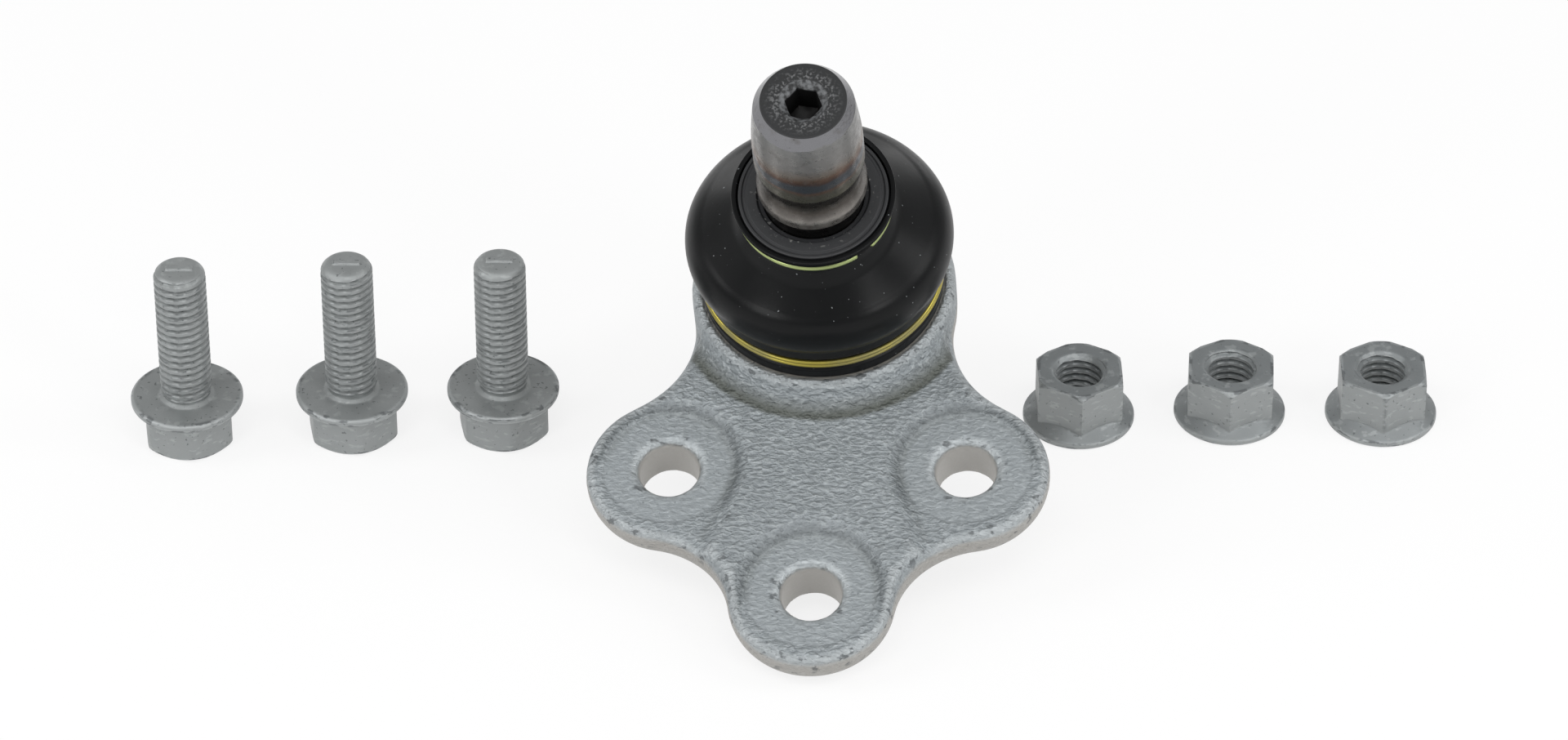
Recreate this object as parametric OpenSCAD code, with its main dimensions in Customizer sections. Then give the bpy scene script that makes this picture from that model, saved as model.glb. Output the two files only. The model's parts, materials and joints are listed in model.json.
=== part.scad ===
// Lower suspension ball joint with a bolt-on flange, and the flange bolts and nuts that fix it.
// Millimetres, +Z up, floor at Z = 0. The joint lies tipped forward on its cup and front lobe.

/* [Forged flange] */
// Thickness of the flange at the bolt pads
plate_t = 9.4; // [9:0.2:12]
// Height of the raised web above the bolt pads
web_rise = 1.7; // [1:0.1:2.2]
// Distance between the two side holes
hole_spacing = 54.8; // [52:0.2:60]
// Distance of the front hole in front of the side holes
front_hole_offset = 27.2; // [26:0.2:30]
// Distance of the ball housing behind the side holes
boss_offset = 38; // [37:0.5:42]
// Radius of each lobe around its bolt hole
lobe_r = 15.5; // [15:0.1:17]
// Bolt hole diameter
bore_d = 11; // [10.4:0.1:12]
// Width and depth of the chamfer where each bolt hole enters its spot face
bore_chamfer = 1.2; // [0.6:0.1:1.5]
// Width and depth of the chamfer where each bolt hole leaves the flange below
bore_low_chamfer = 0.5; // [0.3:0.1:1.5]
// Radius of the spot face around each bolt hole
pad_r = 12.2; // [11.5:0.1:13]
// Width of the sloping wall between a spot face and the web
pad_slope_w = 2.5; // [1.7:0.1:3]
// Direction in which each side spot face opens, away from straight ahead, in degrees
pad_open_turn = 20; // [10:5:60]
// Radius of the waist between a side lobe and the front lobe
waist_r = 17.5; // [16:0.5:24]
// Radius of the neck between a side lobe and the ball housing
neck_fillet_r = 20; // [18:0.5:28]
// Rounding of the upper forged edge
top_edge_r = 3.6; // [1:0.1:4]
// Rounding of the lower forged edge
low_edge_r = 6.8; // [4:0.2:7]

/* [Ball housing] */
// Outer radius of the housing where it leaves the flange
boss_r = 24.7; // [24:0.1:26]
// Height of the machined rim above the bolt pads
rim_z = 6.9; // [6.4:0.1:8]
// Width of the flat machined rim outside the boot seat
rim_w = 1.4; // [1:0.1:1.6]
// How far the foot of the housing stands out over the web
foot_w = 3.7; // [3:0.1:4.5]
// Height of the foot's slope above the web
foot_h = 3.2; // [2.4:0.1:3.6]
// Fillet between the foot's slope and the web
foot_fillet_r = 2.6; // [1.5:0.1:3]
// Radius of the boot seat groove
seat_groove_r = 20.2; // [19.8:0.1:20.6]
// Height of the boot seat groove
seat_groove_h = 6.5; // [6.2:0.1:7.5]
// Height of the flange that holds the boot in its groove
keeper_h = 1.4; // [1:0.1:1.8]
// How far that flange stands out over the groove
keeper_w = 1.1; // [0.6:0.1:1.4]
// Thickness of the cup's wall under the flange
cup_wall_t = 4.5; // [3.8:0.1:5.5]
// How much narrower the cup is at its foot, in radius
cup_taper_w = 2.5; // [1:0.1:2.8]
// Rounding of the cup's foot
cup_edge_r = 2; // [1:0.1:2.4]
// Thickness of the lip rolled over the cover
roll_lip_t = 3.1; // [2.5:0.1:4]
// How far the rolled lip reaches in over the cover
roll_lip_w = 2.6; // [1.5:0.1:3.5]

/* [Ball stud] */
// Ball diameter
ball_d = 27; // [25:0.5:27.5]
// Depth of the ball's centre below the bolt pads
ball_drop = 6; // [5:0.5:8]
// Radius of the neck next to the ball
neck_r = 7.2; // [6.5:0.1:7.6]
// Height above the ball's centre up to which the neck is straight
neck_h = 22; // [20:0.5:24]
// Height over which the neck widens above that
neck_taper_h = 11; // [8:0.5:13]
// Radius of the neck inside the boot's seal
neck_seal_r = 9.3; // [8.8:0.1:9.6]
// Height of the collar's lower face above the ball's centre
collar_h = 50.7; // [49:0.1:53]
// Thickness of the collar
collar_t = 3.1; // [2.4:0.1:3.6]
// Height of the eased edge between the collar and the groove, above and below the corner
collar_edge_h = 1.1; // [0.5:0.1:1.5]
// Radius of the clamped land and the collar
land_r = 10.1; // [9.8:0.05:10.6]
// Height of the stud's top above the ball's centre
stud_top_h = 79.3; // [76:0.1:82]
// Radius of the pinch bolt groove's section
pinch_groove_r = 6; // [5:0.1:6.5]
// Depth of the pinch bolt groove
pinch_groove_d = 0.9; // [0.5:0.1:1.4]
// Radius of the stud's flat top
stud_top_r = 7.7; // [7:0.1:8.2]
// Height of the lead-in chamfer at the top
lead_in_h = 2.35; // [1.5:0.05:3]
// Radius of the stud below the lead-in chamfer
lead_in_r = 9.25; // [9:0.05:9.7]
// Height over which the land swells to its full radius
crown_h = 11; // [6:0.5:13]
// Hexagon socket across flats
socket_af = 6; // [5:0.5:7]
// Depth of the hexagon socket
socket_depth = 7; // [5:0.5:9]
// Furthest tilt of the stud from the housing's axis, in degrees
tilt_limit = 20; // [15:1:22]

/* [Bearing and cover] */
// Clearance of the ball in its seats
ball_clearance = 0.05; // [0.02:0.01:0.1]
// Clearance of the seats and the cover in the cavity
seat_clearance = 0.05; // [0.02:0.01:0.1]
// Thickness of the seats beside the ball
seat_wall_t = 2.5; // [2:0.1:3]
// Thickness of the lower seat under the ball
seat_floor_t = 1.9; // [1.6:0.1:3]
// Height of the upper seat above the ball's centre
seat_top_h = 6.6; // [6:0.1:7]
// Thickness of the pressed cover
cover_t = 3.1; // [2.5:0.1:4]
// Depth of the dish in the cover
cover_dish = 1.4; // [0.8:0.1:2]

/* [Dust boot] */
// Thickness of the boot's skin
boot_wall = 1.7; // [1.4:0.1:2]
// Largest outer radius of the boot
boot_r = 24.9; // [24:0.1:26]
// Radius of the section of the boot's bulge
bulge_r = 7.7; // [7.2:0.1:8.4]
// Height of the boot's widest circle above the bolt pads
bulge_z = 20.7; // [20:0.1:21.5]
// Clearance of the boot on its seats
boot_clearance = 0.3; // [0.2:0.05:0.4]
// Wire diameter of each turn of the lower clamping ring
low_wire_d = 0.85; // [0.7:0.05:0.9]
// Outer radius of the lower clamping ring
low_ring_r = 22.85; // [22.6:0.05:23]
// Height of the lower clamping ring above the machined rim
low_ring_h = 4.3; // [3.6:0.1:5]
// Wire diameter of the upper clamping ring
up_wire_d = 1.1; // [0.9:0.05:1.2]
// Outer radius of the upper clamping ring
up_ring_r = 14.45; // [14.2:0.05:14.7]
// Gap between the ends of the upper clamping ring, in degrees
up_ring_gap = 12; // [8:1:20]
// Radius of the boot's upper rim
rim_lip_r = 15.1; // [14.9:0.05:15.4]
// Gap between the seal ring and the stud's collar
seal_gap = 3.7; // [3:0.1:4.5]
// Thickness of the seal ring's flange
seal_flange_t = 1.3; // [1:0.1:1.8]
// Thickness of the boot's rim under that flange
rim_floor_t = 1.1; // [0.9:0.1:1.6]
// Depth of the seal ring's barrel below the upper clamping ring
seal_barrel_h = 1.8; // [1:0.1:2.5]
// Radius of the seal ring's flange
seal_flange_r = 13.8; // [13.4:0.1:14]
// Clearance of the seal ring on the stud
seal_clearance = 0.06; // [0.02:0.01:0.1]

/* [Rest pose] */
// Turn of the joint on the floor, in degrees
rest_turn = -2.5; // [-5:0.5:5]
// Sideways lean of the joint, in degrees
rest_roll = -3.4; // [-5:0.2:5]
// Forward lean of the stud from the housing's axis, in degrees
stud_lean = 6.3; // [0:0.1:10]
// Turn of that lean to the joint's right, in degrees
lean_turn = 2.3; // [-5:0.1:5]
// Place of the side holes' midpoint from the origin, left to right
joint_x = 5.7; // [0:0.1:10]
// Place of the side holes' midpoint from the origin, front to back
joint_y = -10.55; // [-16:0.05:-8]

/* [Fasteners beside the joint] */
// Distance of the outermost bolt and of the outermost nut from the middle of the set
set_reach = 113.3; // [100:0.1:125]
// Distance from the outer bolt to the middle one
bolt_step_1 = 31.1; // [26:0.1:40]
// Distance from the middle bolt to the inner one
bolt_step_2 = 28.6; // [26:0.1:40]
// Distance from each nut to the next
nut_step = 28.8; // [26:0.1:34]
// Distance of the outer bolt behind the middle of the set
bolt_row_y = 25.2; // [15:0.05:35]
// Distance of the inner nut behind the middle of the set
nut_row_y = 31; // [20:0.05:40]

/* [Flange bolts] */
// Thread diameter of the bolts
bolt_d = 9.85; // [9.7:0.05:10]
// Length of the bolt under its flange
bolt_len = 29.6; // [25:0.2:35]
// Height of the bolt head with its flange
bolt_head_h = 10; // [9:0.1:11]
// Hexagon across flats of the bolts and the nuts
hex_af = 16; // [15:0.5:16]
// Flange diameter of the bolts and the nuts
flange_d = 21.2; // [21:0.1:22]
// Thickness of a flange at its edge
flange_edge_t = 1.6; // [1.2:0.1:2]
// Height of the cone between the flange and the hexagon
flange_cone_h = 1.9; // [1.2:0.1:2.4]
// Chamfer at the bolt's tip
tip_chamfer = 1.6; // [0.8:0.1:2]

/* [Flange nuts] */
// Height of the nut
nut_h = 11.2; // [10:0.1:12]
// Minor diameter of the nut's thread
nut_bore_d = 8.5; // [8.3:0.05:8.7]
// Diameter of the countersink at each end of the nut
nut_sink_d = 10.6; // [10.2:0.1:11]

/* [Hidden] */
$fn = 72;

// Places of the fasteners on the floor, as they stand beside the joint
BOLT_AT = [[-set_reach, bolt_row_y], [-set_reach + bolt_step_1, bolt_row_y + 1.8],
    [-set_reach + bolt_step_1 + bolt_step_2, bolt_row_y + 2.6]];
NUT_AT = [[set_reach - 2 * nut_step, nut_row_y], [set_reach - nut_step, nut_row_y + 1.2],
    [set_reach, nut_row_y + 0.7]];
// Turn of each fastener about its own axis
BOLT_TURN = [14, 40, 3];
NUT_TURN = [31.5, 27, 30];

// Small bite of each valley into its lobes, so that the two surfaces cross cleanly
blend_bite = 0.05;
// Overshoot of a cutting body past the face that it opens
eps = 1;

left_hole = [-hole_spacing / 2, 0];
right_hole = [hole_spacing / 2, 0];
front_hole = [0, -front_hole_offset];
boss_at = [0, boss_offset];
bolt_holes = [left_hole, right_hole, front_hole];

ball_r = ball_d / 2;
cavity_r = ball_r + seat_wall_t;
cup_r = cavity_r + cup_wall_t;
cup_foot_r = cup_r - cup_taper_w;
roll_lip_r = cavity_r - roll_lip_w;
seat_r = ball_r + ball_clearance;
seal_top_h = collar_h - seal_gap;
seal_flange_low_h = seal_top_h - seal_flange_t;
up_ring_h = seal_flange_low_h - rim_floor_t;
seal_low_h = up_ring_h - seal_barrel_h;
cover_top_z = -ball_drop - ball_r - seat_floor_t;
cover_low_z = cover_top_z - cover_t;
cup_depth = roll_lip_t - cover_low_z;
seat_top_z = seat_top_h - ball_drop;
keeper_low_z = rim_z + seat_groove_h;
keeper_top_z = keeper_low_z + keeper_h;
shoulder_r = (boss_r - seat_groove_r - rim_w) / 2;
rim_r = seat_groove_r + boot_clearance + rim_w + 1.2;
shoulder_edge_r = boss_r - rim_r;
// Opening of the housing that lets the stud tilt to its limit
mouth_low_r = sqrt(ball_r * ball_r - seat_top_h * seat_top_h) + 0.9;
mouth_top_r = max(mouth_low_r + 1,
    (keeper_top_z + ball_drop + neck_r) * tan(tilt_limit) + neck_r / cos(tilt_limit) + 0.2);

// Both feet touch the floor at this tilt: the rounded lower edge of the front lobe and the cup's foot
foot_y = -front_hole_offset - (lobe_r - low_edge_r) - boss_offset + (cup_foot_r - cup_edge_r);
foot_z = (low_edge_r - plate_t) - (cup_edge_r - cup_depth);
foot_span = sqrt(foot_y * foot_y + foot_z * foot_z);
rest_tilt = 180 - asin((low_edge_r - cup_edge_r) / foot_span) - atan2(foot_z, foot_y);

// Height in the world of a point of the joint, before the joint is lifted onto the floor
function world_z(p) = sin(rest_tilt) * (p.x * sin(rest_turn) + p.y * cos(rest_turn))
    + cos(rest_tilt) * (p.z * cos(rest_roll)
        - (p.x * cos(rest_turn) - p.y * sin(rest_turn)) * sin(rest_roll));
// Lowest height of a rounded circular edge: circle radius, centre and rounding
function edge_low(centre, circle_r, round_r) = world_z(centre)
    - circle_r * sqrt(1 - pow(cos(rest_tilt) * cos(rest_roll), 2)) - round_r;
lift = -min(
    edge_low([0, -front_hole_offset, low_edge_r - plate_t], lobe_r - low_edge_r, low_edge_r),
    edge_low([0, boss_offset, cup_edge_r - cup_depth], cup_foot_r - cup_edge_r, cup_edge_r));

// Puts the joint's own frame, on the bolt pads between the side holes, into its rest pose
module on_floor() {
    translate([joint_x, joint_y, lift])
        rotate([rest_tilt, 0, 0]) rotate([0, rest_roll, 0]) rotate([0, 0, rest_turn]) children();
}

// Frame of the ball housing, on its axis at the height of the bolt pads
module on_boss() {
    on_floor() translate([boss_at.x, boss_at.y, 0]) children();
}

// Frame of the leaning stud, with its origin at the ball's centre
module on_stud() {
    on_boss() translate([0, 0, -ball_drop]) rotate([0, 0, lean_turn]) rotate([stud_lean, 0, 0])
        children();
}

// Centre of the circle of radius rho that touches two circles from outside
function touching_centre(c1, r1, c2, r2, rho, side) =
    let (d = norm(c2 - c1), u = (c2 - c1) / d, n = [-u.y, u.x] * side,
        p = r1 + rho - blend_bite, q = r2 + rho - blend_bite,
        along = (p * p - q * q + d * d) / (2 * d))
    c1 + u * along + n * sqrt(p * p - along * along);

// Half section of what the rounding takes off the flange's lower edge at radius r
module low_edge_cut(r) {
    translate([r - low_edge_r, -plate_t - eps]) difference() {
        square([low_edge_r + eps, low_edge_r + eps]);
        translate([0, low_edge_r + eps]) circle(low_edge_r);
    }
}

// Half section of a disc of the flange with both forged edges rounded
module lobe_section(r) {
    difference() {
        translate([0, -plate_t]) square([r, plate_t + web_rise]);
        low_edge_cut(r);
        translate([r - top_edge_r, web_rise - top_edge_r]) difference() {
            square([top_edge_r + eps, top_edge_r + eps]);
            circle(top_edge_r);
        }
    }
}

// Half section of the cutter whose wall keeps the flange's rounded edge along a valley
module valley_section(rho) {
    difference() {
        translate([0, -plate_t - eps])
            square([rho + low_edge_r, plate_t + web_rise + 2 * eps]);
        intersection() {
            translate([rho, -plate_t]) square([low_edge_r + eps, plate_t + web_rise]);
            union() {
                translate([rho, low_edge_r - plate_t])
                    square([low_edge_r + eps, plate_t + web_rise - low_edge_r - top_edge_r]);
                translate([rho + low_edge_r, low_edge_r - plate_t]) circle(low_edge_r);
                translate([rho + top_edge_r, web_rise - top_edge_r]) circle(top_edge_r);
                translate([rho + top_edge_r, web_rise - top_edge_r - eps])
                    square([low_edge_r, top_edge_r + eps]);
            }
        }
    }
}

// Disc of the flange around a point
module lobe(c, r) {
    translate([c.x, c.y, 0]) rotate_extrude() lobe_section(r);
}

// The four hollow stretches of the outline: two discs, each with its radius, the radius and the side
VALLEYS = [[left_hole, lobe_r, front_hole, lobe_r, waist_r, -1],
    [right_hole, lobe_r, front_hole, lobe_r, waist_r, 1],
    [left_hole, lobe_r, boss_at, boss_r, neck_fillet_r, 1],
    [right_hole, lobe_r, boss_at, boss_r, neck_fillet_r, -1]];

// Flat outline of the flange, drawn in by an inset
module outline(inset) {
    for (c = bolt_holes) translate(c) circle(lobe_r - inset);
    translate(boss_at) circle(boss_r - inset);
    polygon([left_hole, front_hole, right_hole, boss_at]);
    for (v = VALLEYS) {
        f = touching_centre(v[0], v[1], v[2], v[3], v[4], v[5]);
        difference() {
            polygon([v[0], v[2], f]);
            translate(f) circle(v[4] + inset);
        }
    }
}

// Solid of a hollow stretch of the outline that joins two discs
module valley(c1, r1, c2, r2, rho, side) {
    f = touching_centre(c1, r1, c2, r2, rho, side);
    difference() {
        translate([0, 0, -plate_t]) linear_extrude(plate_t + web_rise) polygon([c1, c2, f]);
        translate([f.x, f.y, 0]) rotate_extrude() valley_section(rho);
    }
}

// Spot face around a bolt hole, open towards the lobe's outer edge
module pad_cut(c, out_angle) {
    half_w = pad_r - blend_bite;
    wall_h = web_rise + eps;
    wall_w = pad_slope_w * wall_h / web_rise;
    translate([c.x, c.y, 0]) {
        cylinder(r1 = pad_r, r2 = pad_r + wall_w, h = wall_h);
        rotate(out_angle) rotate([90, 0, 90]) linear_extrude(lobe_r + eps)
            polygon([[-half_w, 0], [half_w, 0], [half_w + wall_w, wall_h], [-half_w - wall_w, wall_h]]);
    }
}

// Chamfered bolt hole through the flange
module bolt_hole(c) {
    bore_r = bore_d / 2;
    translate([c.x, c.y, 0]) {
        translate([0, 0, -plate_t - eps]) cylinder(r = bore_r, h = plate_t + web_rise + 2 * eps);
        translate([0, 0, -bore_chamfer])
            cylinder(r1 = bore_r, r2 = bore_r + bore_chamfer + eps, h = bore_chamfer + eps);
        translate([0, 0, -plate_t - eps])
            cylinder(r1 = bore_r + bore_low_chamfer + eps, r2 = bore_r, h = bore_low_chamfer + eps);
    }
}

// Half section of the housing's outside: cup, boss wall, machined rim and boot groove
module boss_section() {
    difference() {
        union() {
            polygon([[0, -cup_depth], [cup_foot_r, -cup_depth], [cup_foot_r, cup_edge_r - cup_depth],
                [cup_r, -plate_t - 3], [cup_r + 3, -plate_t], [cup_r + 3, -plate_t + 1],
                [0, -plate_t + 1]]);
            difference() {
                translate([0, -plate_t]) square([boss_r, plate_t + rim_z - shoulder_edge_r]);
                low_edge_cut(boss_r);
            }
            square([rim_r, rim_z]);
            translate([rim_r, rim_z - shoulder_edge_r]) circle(shoulder_edge_r);
            square([seat_groove_r, keeper_top_z]);
            translate([0, keeper_low_z]) square([seat_groove_r + keeper_w, keeper_h]);
        }
        translate([cup_foot_r - cup_edge_r, -cup_depth - eps]) difference() {
            square([cup_edge_r + eps, cup_edge_r + eps]);
            translate([0, cup_edge_r + eps]) circle(cup_edge_r);
        }
    }
}

// Half section of the sloping foot between the boss wall and the web. Its slope starts on the wall
// and touches the fillet that runs out into the web.
module foot_section() {
    slope_top = [boss_r, web_rise + foot_h];
    centre = [boss_r + foot_w, web_rise + foot_fillet_r];
    reach = norm(centre - slope_top);
    slope = atan2(foot_fillet_r - foot_h, foot_w) - asin(foot_fillet_r / reach);
    touch = slope_top + sqrt(reach * reach - foot_fillet_r * foot_fillet_r) * [cos(slope), sin(slope)];
    difference() {
        polygon([[boss_r - 1, web_rise - 1], [centre.x, web_rise - 1], centre, touch, slope_top,
            [boss_r - 1, slope_top.y]]);
        translate(centre - [blend_bite, blend_bite]) circle(foot_fillet_r);
    }
}

// Half section of everything that is bored out of the housing
module cavity_section() {
    polygon([[0, cover_low_z], [cavity_r, cover_low_z], [cavity_r, seat_top_z],
        [mouth_low_r, seat_top_z], [mouth_top_r, keeper_top_z], [mouth_top_r, keeper_top_z + eps],
        [0, keeper_top_z + eps]]);
    translate([0, -cup_depth - eps]) square([roll_lip_r, roll_lip_t + 2 * eps]);
}

// Forged housing: three-lobed flange, ball cup, machined rim, bolt holes and spot faces
module housing() {
    color("#9aa0a3") on_floor() difference() {
        union() {
            for (c = bolt_holes) lobe(c, lobe_r);
            translate([0, 0, -plate_t]) linear_extrude(plate_t + web_rise)
                polygon([left_hole, front_hole, right_hole, boss_at]);
            for (v = VALLEYS) valley(v[0], v[1], v[2], v[3], v[4], v[5]);
            intersection() {
                translate([boss_at.x, boss_at.y, 0]) rotate_extrude() foot_section();
                translate([0, 0, web_rise - 1 - eps]) linear_extrude(foot_h + 2 * eps + 1)
                    outline(top_edge_r / 2);
            }
            translate([boss_at.x, boss_at.y, 0]) rotate_extrude() boss_section();
        }
        translate([boss_at.x, boss_at.y, 0]) rotate_extrude() cavity_section();
        pad_cut(left_hole, 270 - pad_open_turn);
        pad_cut(right_hole, pad_open_turn - 90);
        pad_cut(front_hole, -90);
        for (c = bolt_holes) bolt_hole(c);
    }
}

// Radius of the stud's crowned land at a height below the lead-in chamfer
function crown_r(k) = land_r - (land_r - lead_in_r) * pow(k, 1.5);

// Ball stud: ball, tapered neck, collar, grooved land, lead-in chamfer and hexagon socket
module ball_stud() {
    crown_top = stud_top_h - lead_in_h;
    collar_top = collar_h + collar_t;
    groove_x = land_r + pinch_groove_r - pinch_groove_d;
    groove_h = collar_top + sqrt(pow(pinch_groove_r, 2) - pow(pinch_groove_r - pinch_groove_d, 2));
    eased_low = [land_r, collar_top - collar_edge_h];
    eased_high = [groove_x - sqrt(pow(pinch_groove_r, 2) - pow(groove_h - collar_top - collar_edge_h, 2)),
        collar_top + collar_edge_h];
    past = 0.2 * (eased_high - eased_low);
    crown = [for (k = [0:0.125:1]) [crown_r(k), crown_top - crown_h * (1 - k)]];
    color("#8d8a86") on_stud() difference() {
        union() {
            sphere(ball_r);
            rotate_extrude() polygon(concat(
                [[0, 0], [neck_r, 0], [neck_r, neck_h], [neck_seal_r, neck_h + neck_taper_h],
                [neck_seal_r, collar_h],
                [land_r, collar_h]], crown, [[stud_top_r, stud_top_h], [0, stud_top_h]]));
        }
        rotate_extrude() translate([groove_x, groove_h]) circle(pinch_groove_r);
        rotate_extrude() polygon([eased_low - past, eased_high + past,
            [land_r + eps, eased_high.y + past.y], [land_r + eps, eased_low.y - past.y]]);
        translate([0, 0, stud_top_h - socket_depth])
            cylinder(d = socket_af / cos(30), h = socket_depth + eps, $fn = 6);
        translate([0, 0, stud_top_h - 0.8])
            cylinder(r1 = socket_af / 2 - 0.2, r2 = socket_af / 2 + 1.6, h = 1.8);
        translate([0, 0, stud_top_h - socket_depth - 1.6])
            cylinder(r1 = 0.5, r2 = socket_af / 2, h = 1.7);
        translate([0, 0, -ball_r - eps]) cylinder(r = ball_r, h = eps + 0.6);
    }
}

// Upper bearing shell of the ball
module ball_seat_upper() {
    outer_r = cavity_r - seat_clearance;
    color("#d8d2c0") on_stud_axis_free() difference() {
        translate([0, 0, seat_clearance]) cylinder(r = outer_r, h = seat_top_h - 2 * seat_clearance);
        sphere(seat_r);
        cylinder(r = mouth_low_r, h = seat_top_h + eps);
    }
}

// Lower bearing shell of the ball
module ball_seat_lower() {
    outer_r = cavity_r - seat_clearance;
    height = ball_r + seat_floor_t - 2 * seat_clearance;
    color("#d8d2c0") on_stud_axis_free() difference() {
        translate([0, 0, -height - seat_clearance]) cylinder(r = outer_r, h = height);
        sphere(seat_r);
        translate([0, 0, -height - eps]) cylinder(r = 4, h = height);
    }
}

// Frame at the ball's centre that stays in line with the housing
module on_stud_axis_free() {
    on_boss() translate([0, 0, -ball_drop]) children();
}

// Pressed cover that closes the cup from below
module cover_plate() {
    outer_r = cavity_r - seat_clearance;
    color("#8f959a") on_boss() translate([0, 0, cover_low_z]) difference() {
        translate([0, 0, seat_clearance]) cylinder(r = outer_r, h = cover_t - 2 * seat_clearance);
        translate([0, 0, -eps]) cylinder(r1 = roll_lip_r - 1, r2 = roll_lip_r - 3.5,
            h = cover_dish + eps);
    }
}

// Outer profile of the dust boot, bottom to top, as [radius, height above the bolt pads]
low_seat_z = rim_z + 0.15;
low_ring_z = rim_z + low_ring_h;
low_seat_r = low_ring_r - low_wire_d - 0.12;
up_seat_z = up_ring_h - ball_drop;
up_seat_r = up_ring_r - up_wire_d - 0.12;
rim_top_z = seal_top_h - ball_drop;
rim_step_z = seal_flange_low_h - ball_drop - boot_clearance - 0.05;
bulge_c = boot_r - bulge_r;
function bulge_point(a, r) = [bulge_c + r * cos(a), bulge_z + r * sin(a)];
boot_outer = concat(
    [[low_seat_r, low_seat_z], [low_seat_r + 0.25, low_ring_z - low_wire_d - 0.2],
    [low_seat_r, low_ring_z - low_wire_d], [low_seat_r, low_ring_z + low_wire_d],
    [low_seat_r + 0.9, low_ring_z + low_wire_d + 0.4]],
    [for (a = [-36:9:54]) bulge_point(a, bulge_r)],
    [[up_seat_r + 1.9, up_seat_z - 5.8], [up_seat_r + 0.4, up_seat_z - 3.6],
    [up_seat_r, up_seat_z - 2.6], [up_seat_r, up_seat_z + up_wire_d / 2],
    [rim_lip_r - 0.3, up_seat_z + up_wire_d / 2 + 0.3], [rim_lip_r, rim_top_z - 0.7],
    [rim_lip_r - 0.5, rim_top_z]]);
// Inner profile, top to bottom
seal_barrel_r = up_seat_r - 1.5;
boot_inner = concat(
    [[seal_flange_r + boot_clearance, rim_top_z],
    [seal_flange_r + boot_clearance, rim_step_z],
    [seal_barrel_r + boot_clearance, rim_step_z],
    [seal_barrel_r + boot_clearance, up_seat_z - 3.6], [up_seat_r + 0.4, up_seat_z - 7.2]],
    [for (a = [50:-10:-30]) bulge_point(a, bulge_r - boot_wall)],
    [[seat_groove_r + keeper_w + boot_clearance, keeper_top_z + 0.4],
    [seat_groove_r + keeper_w + boot_clearance, keeper_low_z - 0.3],
    [seat_groove_r + boot_clearance, keeper_low_z - 0.6],
    [seat_groove_r + boot_clearance, low_seat_z]]);

// Share of a boot point's place that follows the leaning stud: none below the bulge, all at the top
function follow(z) = let (t = min(1, max(0, (z - bulge_z) / (up_seat_z - 3 - bulge_z))))
    t * t * (3 - 2 * t);
// Point of the boot at a profile point and an angle, in the frame at the ball's centre
function leaned(p) = [p.x, p.y * cos(stud_lean) - p.z * sin(stud_lean),
    p.y * sin(stud_lean) + p.z * cos(stud_lean)];
function boot_point(q, a) = let (p = [q.x * cos(a), q.x * sin(a), q.y + ball_drop],
    w = follow(q.y)) p * (1 - w) + leaned(p) * w;

// Dust boot: a bellied rubber sleeve from the housing's groove to the seal ring on the stud
module dust_boot() {
    sides = 60;
    profile = concat(boot_outer, boot_inner);
    rings = len(profile);
    points = [for (q = profile) for (j = [0:sides - 1]) boot_point(q, 360 * j / sides)];
    faces = [for (i = [0:rings - 1]) for (j = [0:sides - 1])
        let (i2 = (i + 1) % rings, j2 = (j + 1) % sides)
        [i * sides + j, i2 * sides + j, i2 * sides + j2, i * sides + j2]];
    tri = [for (f = faces) for (t = [[f[0], f[1], f[2]], [f[0], f[2], f[3]]]) t];
    color("#1d1e20") on_stud_axis_free() rotate(lean_turn) polyhedron(points, tri);
}

// Lower clamping ring: two close turns of spring wire around the boot's foot
module boot_lower_ring() {
    wire_r = low_wire_d / 2;
    color("#b5a648") on_boss() rotate_extrude() {
        for (side = [-1, 1]) translate([low_ring_r - wire_r, low_ring_z + side * (wire_r - 0.02)])
            circle(wire_r);
        translate([low_ring_r - wire_r * 1.5, low_ring_z - wire_r / 2]) square([wire_r, wire_r]);
    }
}

// Upper clamping ring: an open ring of spring wire around the boot's neck
module boot_upper_ring() {
    color("#b9c07a") on_stud() translate([0, 0, up_ring_h - up_wire_d / 2 - 0.1])
        rotate([0, 0, -55 + up_ring_gap / 2]) rotate_extrude(angle = 360 - up_ring_gap)
        translate([up_ring_r - up_wire_d / 2, 0]) circle(up_wire_d / 2);
}

// Seal ring between the boot's upper rim and the stud
module stud_seal_ring() {
    color("#2a2b2d") on_stud() rotate_extrude() {
        inner_r = neck_seal_r + seal_clearance;
        translate([inner_r, seal_low_h]) square([seal_barrel_r - inner_r, seal_top_h - seal_low_h]);
        polygon([[inner_r, seal_flange_low_h], [seal_flange_r, seal_flange_low_h],
            [seal_flange_r, seal_top_h - 0.4], [seal_flange_r - 0.4, seal_top_h],
            [inner_r, seal_top_h]]);
    }
}

// Hexagon whose corners are cut by a cone at one end
module hex_body(height, chamfer_end) {
    corner_r = hex_af / 2 / cos(30);
    intersection() {
        cylinder(r = corner_r, h = height, $fn = 6);
        rotate_extrude() polygon([[0, 0], [hex_af / 2 - 0.2, 0], [corner_r + 0.2, chamfer_end],
            [corner_r + 0.2, height], [0, height]]);
    }
}

// Flange and hexagon shared by the bolts and the nuts, with the bearing face at the bottom
module flange_body(height) {
    flange_r = flange_d / 2;
    cylinder(r = flange_r, h = flange_edge_t);
    translate([0, 0, flange_edge_t]) cylinder(r1 = flange_r - 0.35, r2 = hex_af / 2 - 0.4,
        h = flange_cone_h);
    translate([0, 0, height]) mirror([0, 0, 1]) hex_body(height, 1.1);
}

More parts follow.
